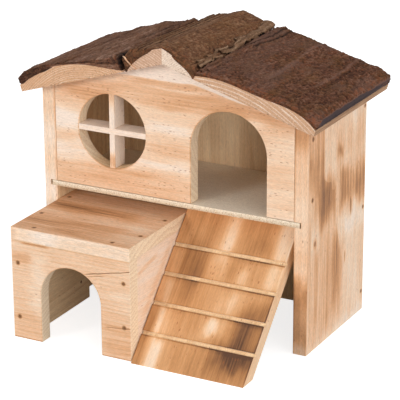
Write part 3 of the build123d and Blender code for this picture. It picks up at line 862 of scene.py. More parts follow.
def lumps(x, y, seed):
    """Smooth random field from 0 to 1, one unit across a lump."""
    table = np.random.default_rng(seed).random((256, 256))
    x_cell, y_cell = np.floor(x).astype(int), np.floor(y).astype(int)
    x_part, y_part = x - x_cell, y - y_cell
    x_part, y_part = (part * part * (3 - 2 * part) for part in (x_part, y_part))

    def corner(i, j):
        return table[(x_cell + i) & 255, (y_cell + j) & 255]

    near = corner(0, 0) * (1 - x_part) + corner(1, 0) * x_part
    far = corner(0, 1) * (1 - x_part) + corner(1, 1) * x_part
    return near * (1 - y_part) + far * y_part


def layered(x, y, seed, octaves=4, gain=0.5):
    """Lumps on lumps, each layer half the size, about 0."""
    total, share, weight = 0.0, 1.0, 0.0
    for octave in range(octaves):
        scale = 2**octave
        total = total + (lumps(x * scale, y * scale, seed + octave) - 0.5) * share
        weight += share
        share *= gain
    return total / weight


def wave(y, length, seed, octaves=3, gain=0.5):
    """A wandering line about 0, for edges that run with the log."""
    return layered(y / length, 0 * y + 3, seed, octaves, gain)


def scales(x, y, seed):
    """Irregular plates: how far inside its plate a point is, and the plate's random number."""
    source = np.random.default_rng(seed).random((3, 128, 128))
    x_cell, y_cell = np.floor(x).astype(int), np.floor(y).astype(int)
    nearest = np.full(x.shape, 9.0)
    second = np.full(x.shape, 9.0)
    chosen = np.zeros(x.shape)
    for i in (-1, 0, 1):
        for j in (-1, 0, 1):
            cell = ((x_cell + i) & 127, (y_cell + j) & 127)
            gap = np.hypot(x_cell + i + source[0][cell] - x, y_cell + j + source[1][cell] - y)
            closer = gap < nearest
            second = np.where(closer, nearest, np.minimum(second, gap))
            chosen = np.where(closer, source[2][cell], chosen)
            nearest = np.where(closer, gap, nearest)
    return second - nearest, chosen


def rise(value, low, high):
    """0 at low, 1 at high, smooth between; low may be above high."""
    share = np.clip((value - low) / (high - low), 0, 1)
    return share * share * (3 - 2 * share)


def hump(value, middle, width):
    """1 at the middle, falling away over the width on each side."""
    return np.exp(-(((value - middle) / width) ** 2))


def crumbs(u, y, seed, size, stretch=1.5):
    """Rounded grains of random height about 0, longer along the log."""
    edge, level = scales(u / size, y / (size * stretch), seed)
    return (level - 0.5) * rise(edge, 0.0, 0.35)


# ---------------- roof frame


def roof_place(side, u, w, y):
    """Points in metres from places on a slope."""
    x = side * (u * cos(PITCH) + w * sin(PITCH))
    z = RIDGE_Z - u * sin(PITCH) + w * cos(PITCH)
    return np.stack([x, y + 0 * x, z], -1) * MM


def top_height(node, side, us, ys):
    """Heights of a CAD roof piece's top over a coarse net of places on its slope."""
    mesh = nodes[node].data
    tree = BVHTree.FromPolygons([v.co for v in mesh.vertices], [p.vertices for p in mesh.polygons])
    above = 60.0  # w where the rays start
    inward = Vector((-side * sin(PITCH), 0.0, -cos(PITCH)))
    heights = np.zeros((len(ys), len(us)))
    for row, y in enumerate(ys):
        for column, u in enumerate(us):
            start = Vector(roof_place(side, u, above, np.float64(y)))
            _, _, _, reach = tree.ray_cast(start, inward)
            heights[row, column] = above - reach / MM if reach else np.nan
        good = ~np.isnan(heights[row])
        heights[row] = np.interp(us, np.array(us)[good], heights[row][good])
    return heights


def net_value(net, us, ys, u, y):
    """Value of a coarse net at any places on the slope."""
    column = np.clip(np.interp(u, us, np.arange(len(us))), 0, len(us) - 1.001)
    row = np.clip(np.interp(y, ys, np.arange(len(ys))), 0, len(ys) - 1.001)
    i, j = row.astype(int), column.astype(int)
    s, t = row - i, column - j
    return (
        net[i, j] * (1 - s) * (1 - t) + net[i, j + 1] * (1 - s) * t
        + net[i + 1, j] * s * (1 - t) + net[i + 1, j + 1] * s * t
    )


# ---------------- bark relief

# The third field is painted shade: how dark cracks, gaps between pieces and bark under lifted plates are
# painted.
Relief = namedtuple("Relief", "height tone cavity slate rust")


NAIL_PIT_RADIUS = 1.5


def nail_pits(u, y, places):
    """1 in the middle of the small pit over each nail."""
    total = 0.0
    for nail_u, nail_y in places:
        squared = (u - nail_u) ** 2 + (y - nail_y) ** 2
        total = total + np.exp(-((squared / NAIL_PIT_RADIUS**2) ** 2))
    return total


def left_relief(u, y):
    """Purple-brown bark with long low streaks that run with the log, and a fold by the joint."""
    bend = u + 3.0 * layered(u / 30, y / 46, 201, 2)
    broad = layered(bend / 11, y / 60, 205, 3)
    streak = layered(bend / 1.7, y / 20, 203, 4, 0.6)
    edge, plate = scales(bend / 6 + 3 * layered(u / 9, y / 16, 207, 2), y / 24, 209)
    crack = (1 - rise(edge, 0.01, 0.07)) * (plate > 0.55)
    crumb = crumbs(u, y, 211, 1.7, 2.2)
    grit = layered(u / 1.1, y / 1.8, 213, 3, 0.6)
    fold = LEFT_SLAB_U + 5.0 + 4.5 * rise(y, -24, 60) + 2.4 * wave(y, 14, 215, 4, 0.6)
    lifted = 1 - rise(u, fold - 0.4, fold + 0.3)
    shade = hump(u, fold + 0.9, 1.2) * rise(y, -29, -18) * (0.85 + 0.6 * wave(y, 6, 216))
    flap = LEFT_SLAB_U + 15 - 0.13 * (y - 30) + 1.6 * wave(y, 9, 218)
    under_flap = hump(u, flap, 1.5) * rise(y, 14, 34) * rise(y, 70, 54)
    height = 1.2 * broad + 0.85 * streak + 0.5 * crumb + 0.6 * grit
    height = height + 0.25 * (plate - 0.5) * rise(edge, 0, 0.1)
    split = rise(layered(bend / 1.2, y / 30, 220, 3, 0.6), 0.13, 0.20)
    pale = rise(layered(bend / 1.2, y / 30, 222, 3, 0.6), 0.13, 0.22)
    height = height - 0.35 * crack + 1.3 * lifted - 0.9 * under_flap - 0.5 * split
    height = height + 0.9 * hump(u, 101.3, 2.2) - 0.8 * hump(u, 86, 12)
    tone = 0.50 + 0.75 * streak + 0.42 * crumb + 0.55 * grit + 0.3 * broad + 0.12 * (plate - 0.5)
    tone = tone - 0.12 * lifted + 0.22 * pale
    slate = 0.5 * rise(layered(bend / 5, y / 26, 217, 3), -0.04, 0.20) * (1 - lifted)
    rust = 0.10 + 0.18 * rise(layered(u / 8, y / 18, 219, 3), 0.08, 0.24)
    # Painted shade in cracks, beside the fold, under the flap, in splits and along the joint.
    by_joint = 0.8 * rise(u, LEFT_SLAB_U + 1.2, LEFT_SLAB_U + 0.3)
    cavity = 0.5 * crack + 0.9 * shade + 0.75 * under_flap + 0.55 * split + by_joint
    return Relief(height, tone, np.clip(cavity, 0, 1), slate, rust)


RIDGE_CREST = 3.2  # how far past the slope's u of 0 the bark meets its twin over the ridge


def ridge_base(across, y):
    """Height, tone and rust of the ridge's bark, across running from the crest to the right."""
    bend = across + 1.4 * layered(across / 20, y / 40, 221, 2)
    fibre = layered(bend / 1.1, y / 14, 223, 4, 0.6)
    broad = layered(bend / 9, y / 34, 225, 3)
    crumb = crumbs(across, y, 227, 1.25, 1.6)
    grit = layered(across / 0.9, y / 1.3, 229, 3, 0.6)
    height = 0.6 * fibre + 0.9 * broad + 0.42 * crumb + 0.5 * grit
    tone = 0.51 + 0.62 * fibre + 0.44 * crumb + 0.85 * grit + 0.3 * broad
    return height, tone, 0.12 + 0.2 * rise(layered(across / 6, y / 12, 231, 3), 0.1, 0.3)


RIDGE_STRIPS = ((9.5, 0.7, 0.45), (14.0, 0.9, 0.3), (18.5, 1.0, 0.35))  # middle u, height, paleness


def ridge_left_relief(u, y):
    """Fibrous inner bark, with long strips that lie over each other down to the left joint."""
    height, tone, rust = ridge_base(-u - RIDGE_CREST, y)
    # The shade value paints shade along each strip's edge and by the joint.
    cavity = 0.0
    for strip, (middle, lift, pale) in enumerate(RIDGE_STRIPS):
        place = middle + 1.8 * wave(y, 18, 233 + strip, 4, 0.55)
        height = height + lift * rise(u, place - 0.25, place + 0.25)
        tone = tone + pale * hump(u, place + 0.5, 0.5)
        cavity = cavity + 0.9 * hump(u, place - 0.4, 0.45) * (0.8 + wave(y, 5, 237 + strip))
        rust = rust + 0.1 * rise(u, place, place + 1.0)
    height = height - 2.4 * rise(u, 19, 26.5)
    return Relief(height, tone, cavity + 0.5 * rise(u, 24.2, 25.6), 0.0 * u, rust)


def ridge_right_relief(u, y):
    """Tan-brown inner bark, smooth by the ridge, torn into holes and shreds by the right joint."""
    height, tone, rust = ridge_base(u + RIDGE_CREST, y)
    torn = rise(u + 3.0 * wave(y, 10, 232), 14.5, 19.0) * rise(y, -27, -18)
    hole = torn * rise(layered(u / 1.8, y / 6.0, 234, 4, 0.6), -0.06, 0.03)
    shred = torn * layered(u / 1.6, y / 10, 236, 3, 0.6)
    front = rise(y, -14, -27)
    height = height + 2.2 * shred - 1.1 * hole
    tone = tone + 0.9 * shred - 0.08 * front
    # The holes get painted shade.
    return Relief(height, tone, hole, 0.25 * torn * (1 - hole), rust + 0.2 * front)


SLATE_WIDTH = 2.3  # at most, on the bark's top
SLATE_DEPTH = 4.2  # at most, down the eave


def slate_extent(y):
    """How much of its greatest size the smooth slate layer along the right-hand eave has."""
    return rise(y, -30.5, -16) * (1 - 0.45 * rise(y, 34, 52) - 0.35 * rise(y, 54, 72))


def right_relief(u, y):
    """Dark red-brown granular bark, two slate ridges, and thin plates lifting beside the joint."""
    bend = u + 2.6 * layered(u / 26, y / 40, 241, 2)
    broad = layered(bend / 12, y / 44, 243, 3)
    edge, plate = scales(bend / 9 + 3 * layered(u / 10, y / 14, 245, 2), y / 22, 247)
    crack = (1 - rise(edge, 0.01, 0.05)) * (plate > 0.62)
    crumb = crumbs(u, y, 249, 1.7, 1.6)
    grain = crumbs(u, y, 251, 0.95, 1.3)
    grit = layered(u / 1.1, y / 1.5, 253, 3, 0.6)
    streak = layered(bend / 1.8, y / 14, 254, 3, 0.6)
    stray = 1.6 * wave(y, 7, 265, 4, 0.6)
    first_bend, second_bend = 1.6 * np.sin(y / 17 + 1.0), 1.4 * np.sin(y / 21)
    first = hump(u, 57 + first_bend + stray, 1.2) * rise(y, -18, 2)
    second = hump(u, 82 + second_bend + stray, 1.1) * rise(y, -2, 20)
    painted_furrow_shade = hump(u, 60.5 + first_bend + stray, 1.5) + hump(u, 85 + second_bend, 1.6)
    lip = 24.5 + 8.5 * rise(y, 6, 70) + 2.6 * wave(y, 6, 255, 4, 0.6)
    far_lip = lip - 3.6 + 2.0 * wave(y, 8, 257)
    lifted = rise(u, lip + 0.25, lip - 0.25) * rise(y, 2, 14)
    upper = rise(u, far_lip + 0.25, far_lip - 0.25) * rise(y, 14, 30)
    under = hump(u, lip + 0.7, 0.7) * rise(y, 2, 14) + hump(u, far_lip + 0.5, 0.5) * rise(y, 14, 30)
    by_joint = rise(u, 30, 25) * rise(y, 12, 2)
    shred = by_joint * layered(u / 1.6, y / 12, 261, 3, 0.6)
    height = broad + 0.65 * crumb + 0.45 * grain + 0.7 * grit + 0.4 * streak + 2.0 * shred
    height = height + 0.3 * (plate - 0.5) * rise(edge, 0, 0.08) + 0.9 * lifted + 0.7 * upper - 0.4 * crack
    far = rise(y, 50, 70)
    height = height - rise(u, 99, 103) * (1 - far) + 2.0 * far * rise(u, 86, 98)
    height = height - 1.6 * rise(u, 101, 104) * rise(y, -25, -30)
    start = EAVE_U - SLATE_WIDTH * slate_extent(y) + 0.7 * wave(y, 4, 267, 4, 0.6)
    smooth = rise(u, start - 0.25, start + 0.25) * (slate_extent(y) > 0.05)
    height = height * (1 - smooth) - smooth * (1.0 + 2.6 * np.clip((u - start) / SLATE_WIDTH, 0, 1))
    tone = 0.48 + 0.36 * crumb + 0.42 * grain + 0.9 * grit + 0.3 * broad + 0.3 * streak
    # Painted highlight along the two ridges, and painted shade in the furrow below each.
    tone = tone + 0.26 * (first + second) - 0.16 * painted_furrow_shade * rise(y, -18, 2)
    front_rim = rise(y, -22, -29)
    tone = tone + 0.14 * front_rim + 0.5 * shred
    # Painted shade in cracks, under the lifted plates and among the shreds by the joint.
    cavity = 0.5 * crack + 0.9 * under + 0.5 * by_joint * rise(layered(u / 1.4, y / 6, 263, 3), 0.08, 0.2)
    upper_side = rise(layered(bend / 10, y / 26, 259, 3) + 0.08 * hump(u, 40, 12), -0.02, 0.10)
    # Slate on the ridges is partly the bark's own colour and partly painted highlight.
    slate = 0.7 * (first + second) + 0.5 * upper_side + 0.35 * lifted + 0.4 * by_joint
    slate = slate * (1 - smooth) + 2.0 * smooth
    cavity = cavity * (1 - smooth)
    chip = hump(u, 102, 2.2) * hump(y, -27.5, 2.6) + 0.7 * hump(u, 101.5, 1.8) * hump(y, 38, 9)
    rust = 0.12 + 0.50 * rise(y, -19, -28) + 0.2 * hump(u, 66, 4) * rise(y, -20, 0) + 0.5 * chip
    rust = rust + 0.30 * rise(u, 96, 103)
    return Relief(height, tone + 0.35 * chip, cavity, slate, rust)


# ---------------- bark meshes


def nail_places(panel_u, wall_u=None):
    """u and y of a slab's nails: into the two panels, and into the side wall under it if any."""
    into_wall = [(wall_u, y) for y in WALL_NAIL_YS] if wall_u else []
    return [(panel_u, FRONT_PANEL_Y), (panel_u, REAR_PANEL_Y)] + into_wall


# A slab's bark: its slope, its span down the slope, where it ends at the back, its relief, whether
# its inner side meets its twin at the ridge, its colours, its seed and its nails.
Bark = namedtuple("Bark", "side inner outer rear relief mitred kind seed nails")
BARKS = {
    "left": Bark(
        -1, LEFT_SLAB_U, EAVE_U, LEFT_SLAB_REAR_Y, left_relief, False, "left", 1, nail_places(40.6, 84.7),
    ),
    "ridge_left": Bark(
        -1, RIDGE_START_U, LEFT_RIDGE_U, ROOF_REAR_Y, ridge_left_relief, True, "ridge", 2, nail_places(6.8),
    ),
    "ridge_right": Bark(
        1, RIDGE_START_U, RIGHT_RIDGE_U, ROOF_REAR_Y, ridge_right_relief, True, "ridge", 3,
        nail_places(5.4),
    ),
    "right": Bark(
        1, RIGHT_SLAB_U, EAVE_U, ROOF_REAR_Y, right_relief, False, "right", 4, nail_places(32.25, 94.6),
    ),
}
RIM_ROWS = 12  # from the top's rim down to the wood
RETURN_ROWS = 2  # back under the rim, onto the wood
NET_COLUMNS, NET_LINES = 44, 14  # of the coarse net that measures a CAD surface


def base_surfaces(place, bark):
    """Two functions of (u, y): the CAD bark's outside, and the top of the wood under it."""
    inset = 0.35
    us = np.linspace(bark.inner + inset, bark.outer - inset, NET_COLUMNS)
    ys = np.linspace(ROOF_FRONT_Y + inset, bark.rear - inset, NET_LINES)
    found = []
    for node in (f"roof_bark_{place}", f"roof_slab_{place}"):
        net = top_height(node, bark.side, us, ys)
        found.append(lambda u, y, net=net: net_value(net, us, ys, u, y))
    return found


def bark_top(bark, outside, u, y):
    """The height of the displaced outer surface, and its colouring."""
    relief = bark.relief(u, y)
    pits = nail_pits(u, y, bark.nails)
    near_end = np.minimum(y - ROOF_FRONT_Y, bark.rear - y)
    near_side = bark.outer - u if bark.mitred else np.minimum(bark.outer - u, u - bark.inner)
    worn = rise(near_end, -0.6, 1.6) * rise(near_side, -0.4, 0.9)
    height = outside(u, y) + relief.height * (0.5 + 0.5 * worn) - 0.25 - 0.45 * (1 - worn) - 1.1 * pits
    # The pits over the nails get painted shade.
    return height, relief._replace(cavity=np.clip(relief.cavity + 0.6 * pits, 0, 1))


def bark_rim(u, w, y, bark, inside):
    """Rows of points from the top's rim down to the wood, rough like torn fibre."""
    at_eave = np.where(u >= bark.outer - 1.5, 1.0, 0.0)
    outward_u = at_eave - (0.0 if bark.mitred else np.where(u <= bark.inner + 1.5, 1.0, 0.0))
    outward_y = np.where(y >= bark.rear - 1.8, 1.0, 0.0) - np.where(y <= ROOF_FRONT_Y + 1.5, 1.0, 0.0)
    round_rim = np.cumsum(np.hypot(np.diff(u, prepend=u[:1]), np.diff(y, prepend=y[:1])))
    wood = inside(u, y) - 0.15
    lip = np.where(outward_y < 0, end_lip(bark.kind, u), 0.0)
    foot = wood - lip
    smooth_face = (at_eave > 0) & (bark.kind == "right")
    rows = []
    for row in range(1, RIM_ROWS + 1):
        share = row / RIM_ROWS
        depth = (w - foot) * share
        torn = layered(round_rim / 2.2, depth / 0.8 + 0 * round_rim, 271 + bark.seed, 3, 0.6) * 1.3
        shift = (torn - 0.1) * sin(pi * min(share, 0.9)) - 0.2 * share
        on_slate = smooth_face & (w - depth - foot < SLATE_DEPTH * slate_extent(y))
        shift = np.where(on_slate, -0.1, shift)
        row_y = y + outward_y * shift
        row_y = np.where(lip > 0.2, np.minimum(row_y, ROOF_FRONT_Y - 0.25), row_y)
        rows.append((u + outward_u * shift, w - depth, row_y))
    last_u, _, last_y = rows[-1]
    for inward, level in ((0.3, foot), (0.6, wood)):
        rows.append((last_u - outward_u * inward, level, last_y - outward_y * inward))
    return rows


def end_lip(kind, u):
    """How far a slab's bark hangs down over the front end of its wood."""
    if kind == "left":
        return 1.3 * rise(u, 75, 84) * rise(u, 104.8, 101)
    return rise(u, 3, 9) if kind == "ridge" else 0.0 * u


def rim_colours(bark, u, w, y, foot, share):
    """Colouring of the broken edges: dark, layered like fibre, with a slate strip at the eave.
    share runs from 0 at the top to 1 at the wood."""
    layers = layered(w / 0.7, (u + y) / 8, 295 + bark.seed, 3, 0.6)
    crumb = layered((u + y) / 1.2, w / 0.9, 299 + bark.seed, 3, 0.6)
    tone = 0.36 + 0.8 * layers + 0.5 * crumb
    # The third value is painted shade between the fibre layers.
    cavity = 0.08 - 0.5 * layers
    rust = 0.28 + 0.5 * crumb
    strip = np.zeros(u.shape, dtype=bool)
    if bark.kind == "left":
        # Painted shade along the joint, and across the middle of the rim where a gap parts the bark from
        # the wood.
        cavity = cavity + 0.7 * rise(u, bark.inner + 1.9, bark.inner + 0.9)
        maroon = rise(u, 74, 86)
        lower = rise(share, 0.5, 0.62) * (1 - maroon)
        tone = tone - 0.35 * maroon - 0.16 * (1 - lower) * (1 - maroon) + 0.22 * lower
        cavity = cavity + 0.16 * maroon + 0.5 * hump(share, 0.42, 0.1) * (1 - maroon)
        rust = rust * (1 - 0.4 * maroon)
    if bark.kind == "right":
        at_eave = u > bark.outer - 2.0
        strip = at_eave & (y > ROOF_FRONT_Y + 2) & (w - foot < SLATE_DEPTH * slate_extent(y))
        rust = rust + 0.35
        tone = tone + 0.12
    return {
        "tone": np.where(strip, 0.5 + 0.2 * layers, tone),
        "cavity": np.where(strip, 0.0, np.clip(cavity, 0, 1)),
        "slate": np.where(strip, 2.0, 0.0),
        "rust": np.where(strip, 0.0, np.clip(rust, 0, 1)),
    }


def bark_net(bark, outside):
    """The outer surface's net of u, w and y, with ragged ends and sides, and its colouring."""
    pitch = 0.45
    columns = int((bark.outer - bark.inner) / pitch) + 1
    lines = int((bark.rear - ROOF_FRONT_Y) / pitch) + 1
    across, along = np.meshgrid(np.linspace(0, 1, columns), np.linspace(0, 1, lines))
    ragged_front = 0.8 * layered(across * 30 + 3, 0 * across, 281 + bark.seed, 5, 0.65)
    ragged_rear = 1.8 * layered(across * 26 + 9, 0 * across, 285 + bark.seed, 5, 0.65)
    ragged_side = 1.6 * layered(along * 34 + 5, 0 * along, 291 + bark.seed, 5, 0.65)
    y = ROOF_FRONT_Y + ragged_front * (1 - along) + along * (bark.rear - ROOF_FRONT_Y + ragged_rear)
    side_share = across if bark.mitred else 2 * across - 1
    side_share = side_share * np.where((across > 0.5) & (bark.kind == "right"), 0.3, 1.0)
    recess = 1.6 * rise(y, 24, 50) * (1 - across) if bark.kind == "left" else 0.0
    u = bark.inner + across * (bark.outer - bark.inner) + ragged_side * side_share + recess
    if bark.mitred:
        crest = outside(0 * u + RIDGE_START_U, y) * tan(PITCH)
        u = -crest + across * (bark.outer + crest) + ragged_side * across
    w, relief = bark_top(bark, outside, u, y)
    if bark.mitred:
        u = np.where(across == 0, -w * tan(PITCH), u)
    return u, w, y, relief


def rim_of(index):
    """Numbers of a net's points round its edge: front, outer side, rear and inner side."""
    return np.concatenate([index[0, :], index[1:, -1], index[-1, -2::-1], index[-2:0:-1, 0]])


def bark_faces(index):
    """Faces of the net, of the rim's rows under it, and of the underside that closes it."""
    lines, columns = index.shape
    corners = index[:-1, :-1], index[:-1, 1:], index[1:, 1:], index[1:, :-1]
    faces = np.stack([part.ravel() for part in corners], -1).tolist()
    upper = rim_of(index)
    for row in range(RIM_ROWS + RETURN_ROWS):
        lower = index.size + len(upper) * row + np.arange(len(upper))
        around = upper, lower, np.roll(lower, -1), np.roll(upper, -1)
        faces += np.stack(around, -1).tolist()
        upper = lower
    front, rear = upper[:columns], upper[columns + lines - 2:2 * columns + lines - 2][::-1]
    outer_side = upper[columns - 1:columns + lines - 1]
    inner_side = np.concatenate([upper[2 * columns + lines - 3:], upper[:1]])[::-1]
    faces.append([*inner_side, rear[1], front[1]])
    for j in range(1, columns - 2):
        faces.append([front[j], rear[j], rear[j + 1], front[j + 1]])
    faces.append([front[-2], rear[-2], *outer_side[::-1]])
    return faces


def make_bark(place):
    """A closed bark mesh: a fine outer surface, torn edges, and a plain underside on the wood."""
    bark = BARKS[place]
    outside, inside = base_surfaces(place, bark)
    u, w, y, relief = bark_net(bark, outside)
    index = np.arange(u.size).reshape(u.shape)
    rim = rim_of(index)
    flat = [part.ravel() for part in (u, w, y)]
    rows = bark_rim(*(part[rim] for part in flat), bark, inside)
    if bark.mitred:
        on_ridge = rim % u.shape[1] == 0
        rows = [(np.where(on_ridge, -row[1] * tan(PITCH), row[0]), *row[1:]) for row in rows]
    under = [np.concatenate([row[k] for row in rows]) for k in range(3)]
    shares = np.repeat(np.minimum(np.arange(1, len(rows) + 1) / RIM_ROWS, 1), len(rim))
    points = roof_place(bark.side, *(np.concatenate(pair) for pair in zip(flat, under)))
    faces = bark_faces(index)
    if bark.side < 0:
        faces = [face[::-1] for face in faces]
    piece = mesh_piece(f"bark_over_{place}", points, faces, bark_material_of[bark.kind])
    edge = rim_colours(bark, *under, inside(under[0], under[2]), shares)
    for name, values in edge.items():
        top = np.broadcast_to(getattr(relief, name), u.shape).ravel()
        write_attribute(piece, name, np.concatenate([top, values]))
    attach(piece, "house")
    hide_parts(f"roof_bark_{place}")
    return outside


def mesh_piece(name, points, faces, material, smooth=True):
    """An object from points in metres and faces as corner numbers."""
    mesh = bpy.data.meshes.new(name)
    mesh.from_pydata(np.asarray(points).tolist(), [], faces)
    mesh.validate()
    mesh.polygons.foreach_set("use_smooth", [smooth] * len(mesh.polygons))
    mesh.materials.append(material)
    piece = bpy.data.objects.new(name, mesh)
    bpy.context.scene.collection.objects.link(piece)
    return piece


def write_attribute(piece, name, values):
    attribute = piece.data.attributes.new(name, "FLOAT", "POINT")
    attribute.data.foreach_set("value", np.asarray(values, dtype=np.float32))


def tube_faces(rows, ring):
    """Faces of a closed skin round rows of ring points, with a cap at each end."""
    faces = []
    for row in range(rows - 1):
        for k in range(ring):
            here, beside = row * ring + k, row * ring + (k + 1) % ring
            faces.append((here, beside, beside + ring, here + ring))
    last = (rows - 1) * ring
    return [tuple(range(ring - 1, -1, -1))] + faces + [tuple(range(last, last + ring))]


# ---------------- roof nails

# A nail's distance from its axis, and height over its seat: dished head, shank and point
NAIL_PROFILE = (
    (0.25, -0.16), (0.62, -0.10), (0.86, 0.0), (1.0, -0.12), (1.0, -0.5),
    (0.6, -0.75), (0.6, -22.0), (0.1, -23.4),
)
NAIL_SINK = 0.95  # below the bark round it


def make_roof_nails():
    """The roof's nails, their heads rusty and driven a little below the bark."""
    ring = 16
    turn = np.linspace(0, 2 * pi, ring, endpoint=False)
    points, faces = [], []
    for place, bark in BARKS.items():
        for nail_u, nail_y in bark.nails:
            seat = float(bark_outside[place](np.array([nail_u]), np.array([nail_y]))[0]) - NAIL_SINK
            first = len(points)
            for radius, height in NAIL_PROFILE:
                row = roof_place(
                    bark.side, nail_u + radius * np.cos(turn), seat + height + 0 * turn,
                    nail_y - bark.side * radius * np.sin(turn),
                )
                points.extend(row.tolist())
            for face in tube_faces(len(NAIL_PROFILE), ring):
                faces.append([first + corner for corner in face])
    piece = mesh_piece("sunk_roof_nails", points, faces, rusty_steel(), smooth=False)
    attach(piece, "house")
    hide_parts("roof_nails")


# ---------------- loose bark

# A loose strip of bark: u and y of its two ends, its radius at each, the angles where its section
# starts and stops, 0 being straight out, how high the middle of that section is over the bark in
# radii, its thickness and its seed. The strips are listed under the slab that they lie on.
Curl = namedtuple("Curl", "u y radius span lift thickness seed")
CURLS = {
    "ridge_right": {
        "bark_roll_front": Curl((21.0, 19.8), (-25.0, -9.0), (1.3, 1.6), (-120, 100), 0.4, 0.45, 1),
        "bark_roll_middle": Curl((18.8, 21.4), (-11.0, 5.0), (1.6, 1.2), (-100, 110), 0.3, 0.45, 2),
        "bark_roll_rear": Curl((19.0, 21.0), (5.0, 22.0), (1.2, 1.9), (-85, 105), 0.2, 0.45, 8),
        "bark_strip_joint": Curl((20.8, 18.4), (18.0, 46.0), (2.0, 2.8), (-70, 75), -0.4, 0.5, 3),
        "bark_strip_rear": Curl((19.9, 18.6), (42.0, 77.0), (3.4, 8.0), (-45, 36), -0.66, 0.55, 4),
        "bark_shred_first": Curl((17.2, 20.4), (-22.0, -12.0), (0.8, 1.0), (-70, 80), 0.1, 0.35, 11),
        "bark_shred_second": Curl((22.0, 17.6), (-9.0, 4.0), (0.9, 1.2), (-80, 70), 0.3, 0.35, 12),
        "bark_shred_third": Curl((16.0, 18.6), (3.0, 18.0), (1.1, 0.7), (-70, 80), 0.0, 0.35, 13),
        "bark_shred_fourth": Curl((22.2, 16.6), (16.0, 36.0), (1.2, 1.5), (-70, 70), 0.2, 0.4, 14),
        "bark_shred_fifth": Curl((15.4, 18.2), (30.0, 56.0), (1.4, 0.9), (-65, 70), -0.1, 0.4, 15),
    },
    "right": {
        "bark_shred_front": Curl((24.4, 24.0), (-29.0, -4.0), (1.5, 2.0), (-80, 95), 0.0, 0.5, 5),
        "bark_shred_right": Curl((27.2, 27.8), (-25.0, -8.0), (2.2, 1.6), (-50, 60), -0.4, 0.45, 6),
        "bark_shred_middle": Curl((25.0, 27.5), (2.0, 30.0), (1.4, 2.2), (-80, 80), -0.1, 0.5, 7),
    },
}


def between(ends, share):
    return ends[0] + share * (ends[1] - ends[0])


def make_curl(place, name, curl):
    """A thin strip of bark, bent across its length, with torn edges and a wandering line."""
    rows, steps = ((90, 12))
    along = np.linspace(0, 1, rows)[:, None]
    y = between(curl.y, along)
    middle = between(curl.u, along) + 2.2 * wave(y, 9, 401 + curl.seed, 4, 0.55)
    radius = between(curl.radius, along) * (1 + 0.9 * wave(y, 5, 411 + curl.seed, 4, 0.6))
    low = curl.span[0] + 100 * wave(y, 4, 421 + curl.seed, 4, 0.6)
    high = curl.span[1] + 100 * wave(y, 4, 431 + curl.seed, 4, 0.6)
    taper = rise(along, -0.02, 0.06) * rise(along, 1.02, 0.94)
    part = np.linspace(0, 1, steps)[None, :]
    angle = np.radians(between((low, high), 0.5 + (part - 0.5) * (0.35 + 0.65 * taper)))
    base = bark_outside[place](middle, y) + curl.lift * radius
    rough = 0.55 * layered(angle * radius / 1.1, y / 2.0 + 0 * angle, 441 + curl.seed, 3, 0.6)
    skins = []
    for depth in (0.0, curl.thickness):
        reach = radius + rough - depth
        skins.append((middle + reach * np.sin(angle), base + reach * np.cos(angle), y + 0 * angle))
    ring = [np.concatenate([outer, inner[:, ::-1]], axis=1) for outer, inner in zip(*skins)]
    points = roof_place(BARKS[place].side, *(places.ravel() for places in ring))
    kind = "right" if place == "right" else "curl"
    piece = mesh_piece(name, points, tube_faces(rows, 2 * steps), bark_material_of[kind])
    inner_side = np.concatenate([0 * angle, 0 * angle + 1], axis=1)
    streak = layered(ring[0] / 0.9, ring[2] / 12, 451 + curl.seed, 4, 0.6)
    torn_edge = np.concatenate([abs(part - 0.5) * 2] * 2, axis=1) + 0 * streak
    values = {
        # The inner side is darker, and darker still away from the torn edges: painted shade.
        "tone": 0.50 + 1.3 * streak - 0.30 * inner_side + 0.12 * rise(torn_edge, 0.8, 1.0),
        "cavity": 0.45 * inner_side * rise(torn_edge, 0.9, 0.5),
        "slate": 0.35 * (kind == "right") + 0 * streak,
        "rust": 0.08 + 0 * streak,
    }
    for attribute, value in values.items():
        write_attribute(piece, attribute, value.ravel())
    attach(piece, "house")


# The splinter over the ridge's left front end: its centre line as (u, w, y) and its half widths
SPLINTER = ((23.9, 9.4, -31.6), (22.3, 6.4, -32.0), (20.4, 3.2, -31.9), (18.4, 0.2, -31.5))
SPLINTER_WIDTHS = (0.9, 0.75, 0.55, 0.15)


def make_splinter():
    """A pale splinter of wood that leans across the ridge slab's left end."""
    points = []
    for (u, w, y), width in zip(SPLINTER, SPLINTER_WIDTHS):
        us = np.array([u - width, u, u + width, u + 0.4 * width])
        ws = np.array([w - 0.5 * width, w - 0.1, w + 0.5 * width, w])
        ys = np.array([y, y - 0.6 * width, y, y + 1.2])
        points.extend(roof_place(-1, us, ws, ys).tolist())
    faces = [face[::-1] for face in tube_faces(len(SPLINTER), 4)]
    piece = mesh_piece("ridge_splinter", points, faces, bpy.data.materials["log_wood_left"], smooth=False)
    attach(piece, "house")


# ---------------- stage


def direction(azimuth, elevation):
    """Towards a viewer or lamp, in radians to the right of the front and above the floor."""
    return Vector((sin(azimuth) * cos(elevation), -cos(azimuth) * cos(elevation), sin(elevation)))


def place_object(name, data, matrix):
    made = bpy.data.objects.new(name, data)
    made.matrix_world = matrix
    bpy.context.scene.collection.objects.link(made)
    return made


def lamp(name, azimuth, elevation, strength, softness):
    """A distant lamp, its angles in degrees."""
    data = bpy.data.lights.new(name, "SUN")
    data.energy = strength
    data.angle = radians(softness)
    turn = direction(radians(azimuth), radians(elevation)).to_track_quat("Z", "Y")
    place_object(name, data, turn.to_matrix().to_4x4())


def seen_directly(tree):
    """1 for rays that should show the background: from the camera, mirrors and glass."""
    path = tree.node("LightPath").outputs
    seen = path["Is Camera Ray"]
    for name in ("Is Glossy Ray", "Is Transmission Ray"):
        seen = tree.node("Math", seen, path[name], operation="MAXIMUM").outputs[0]
    return seen


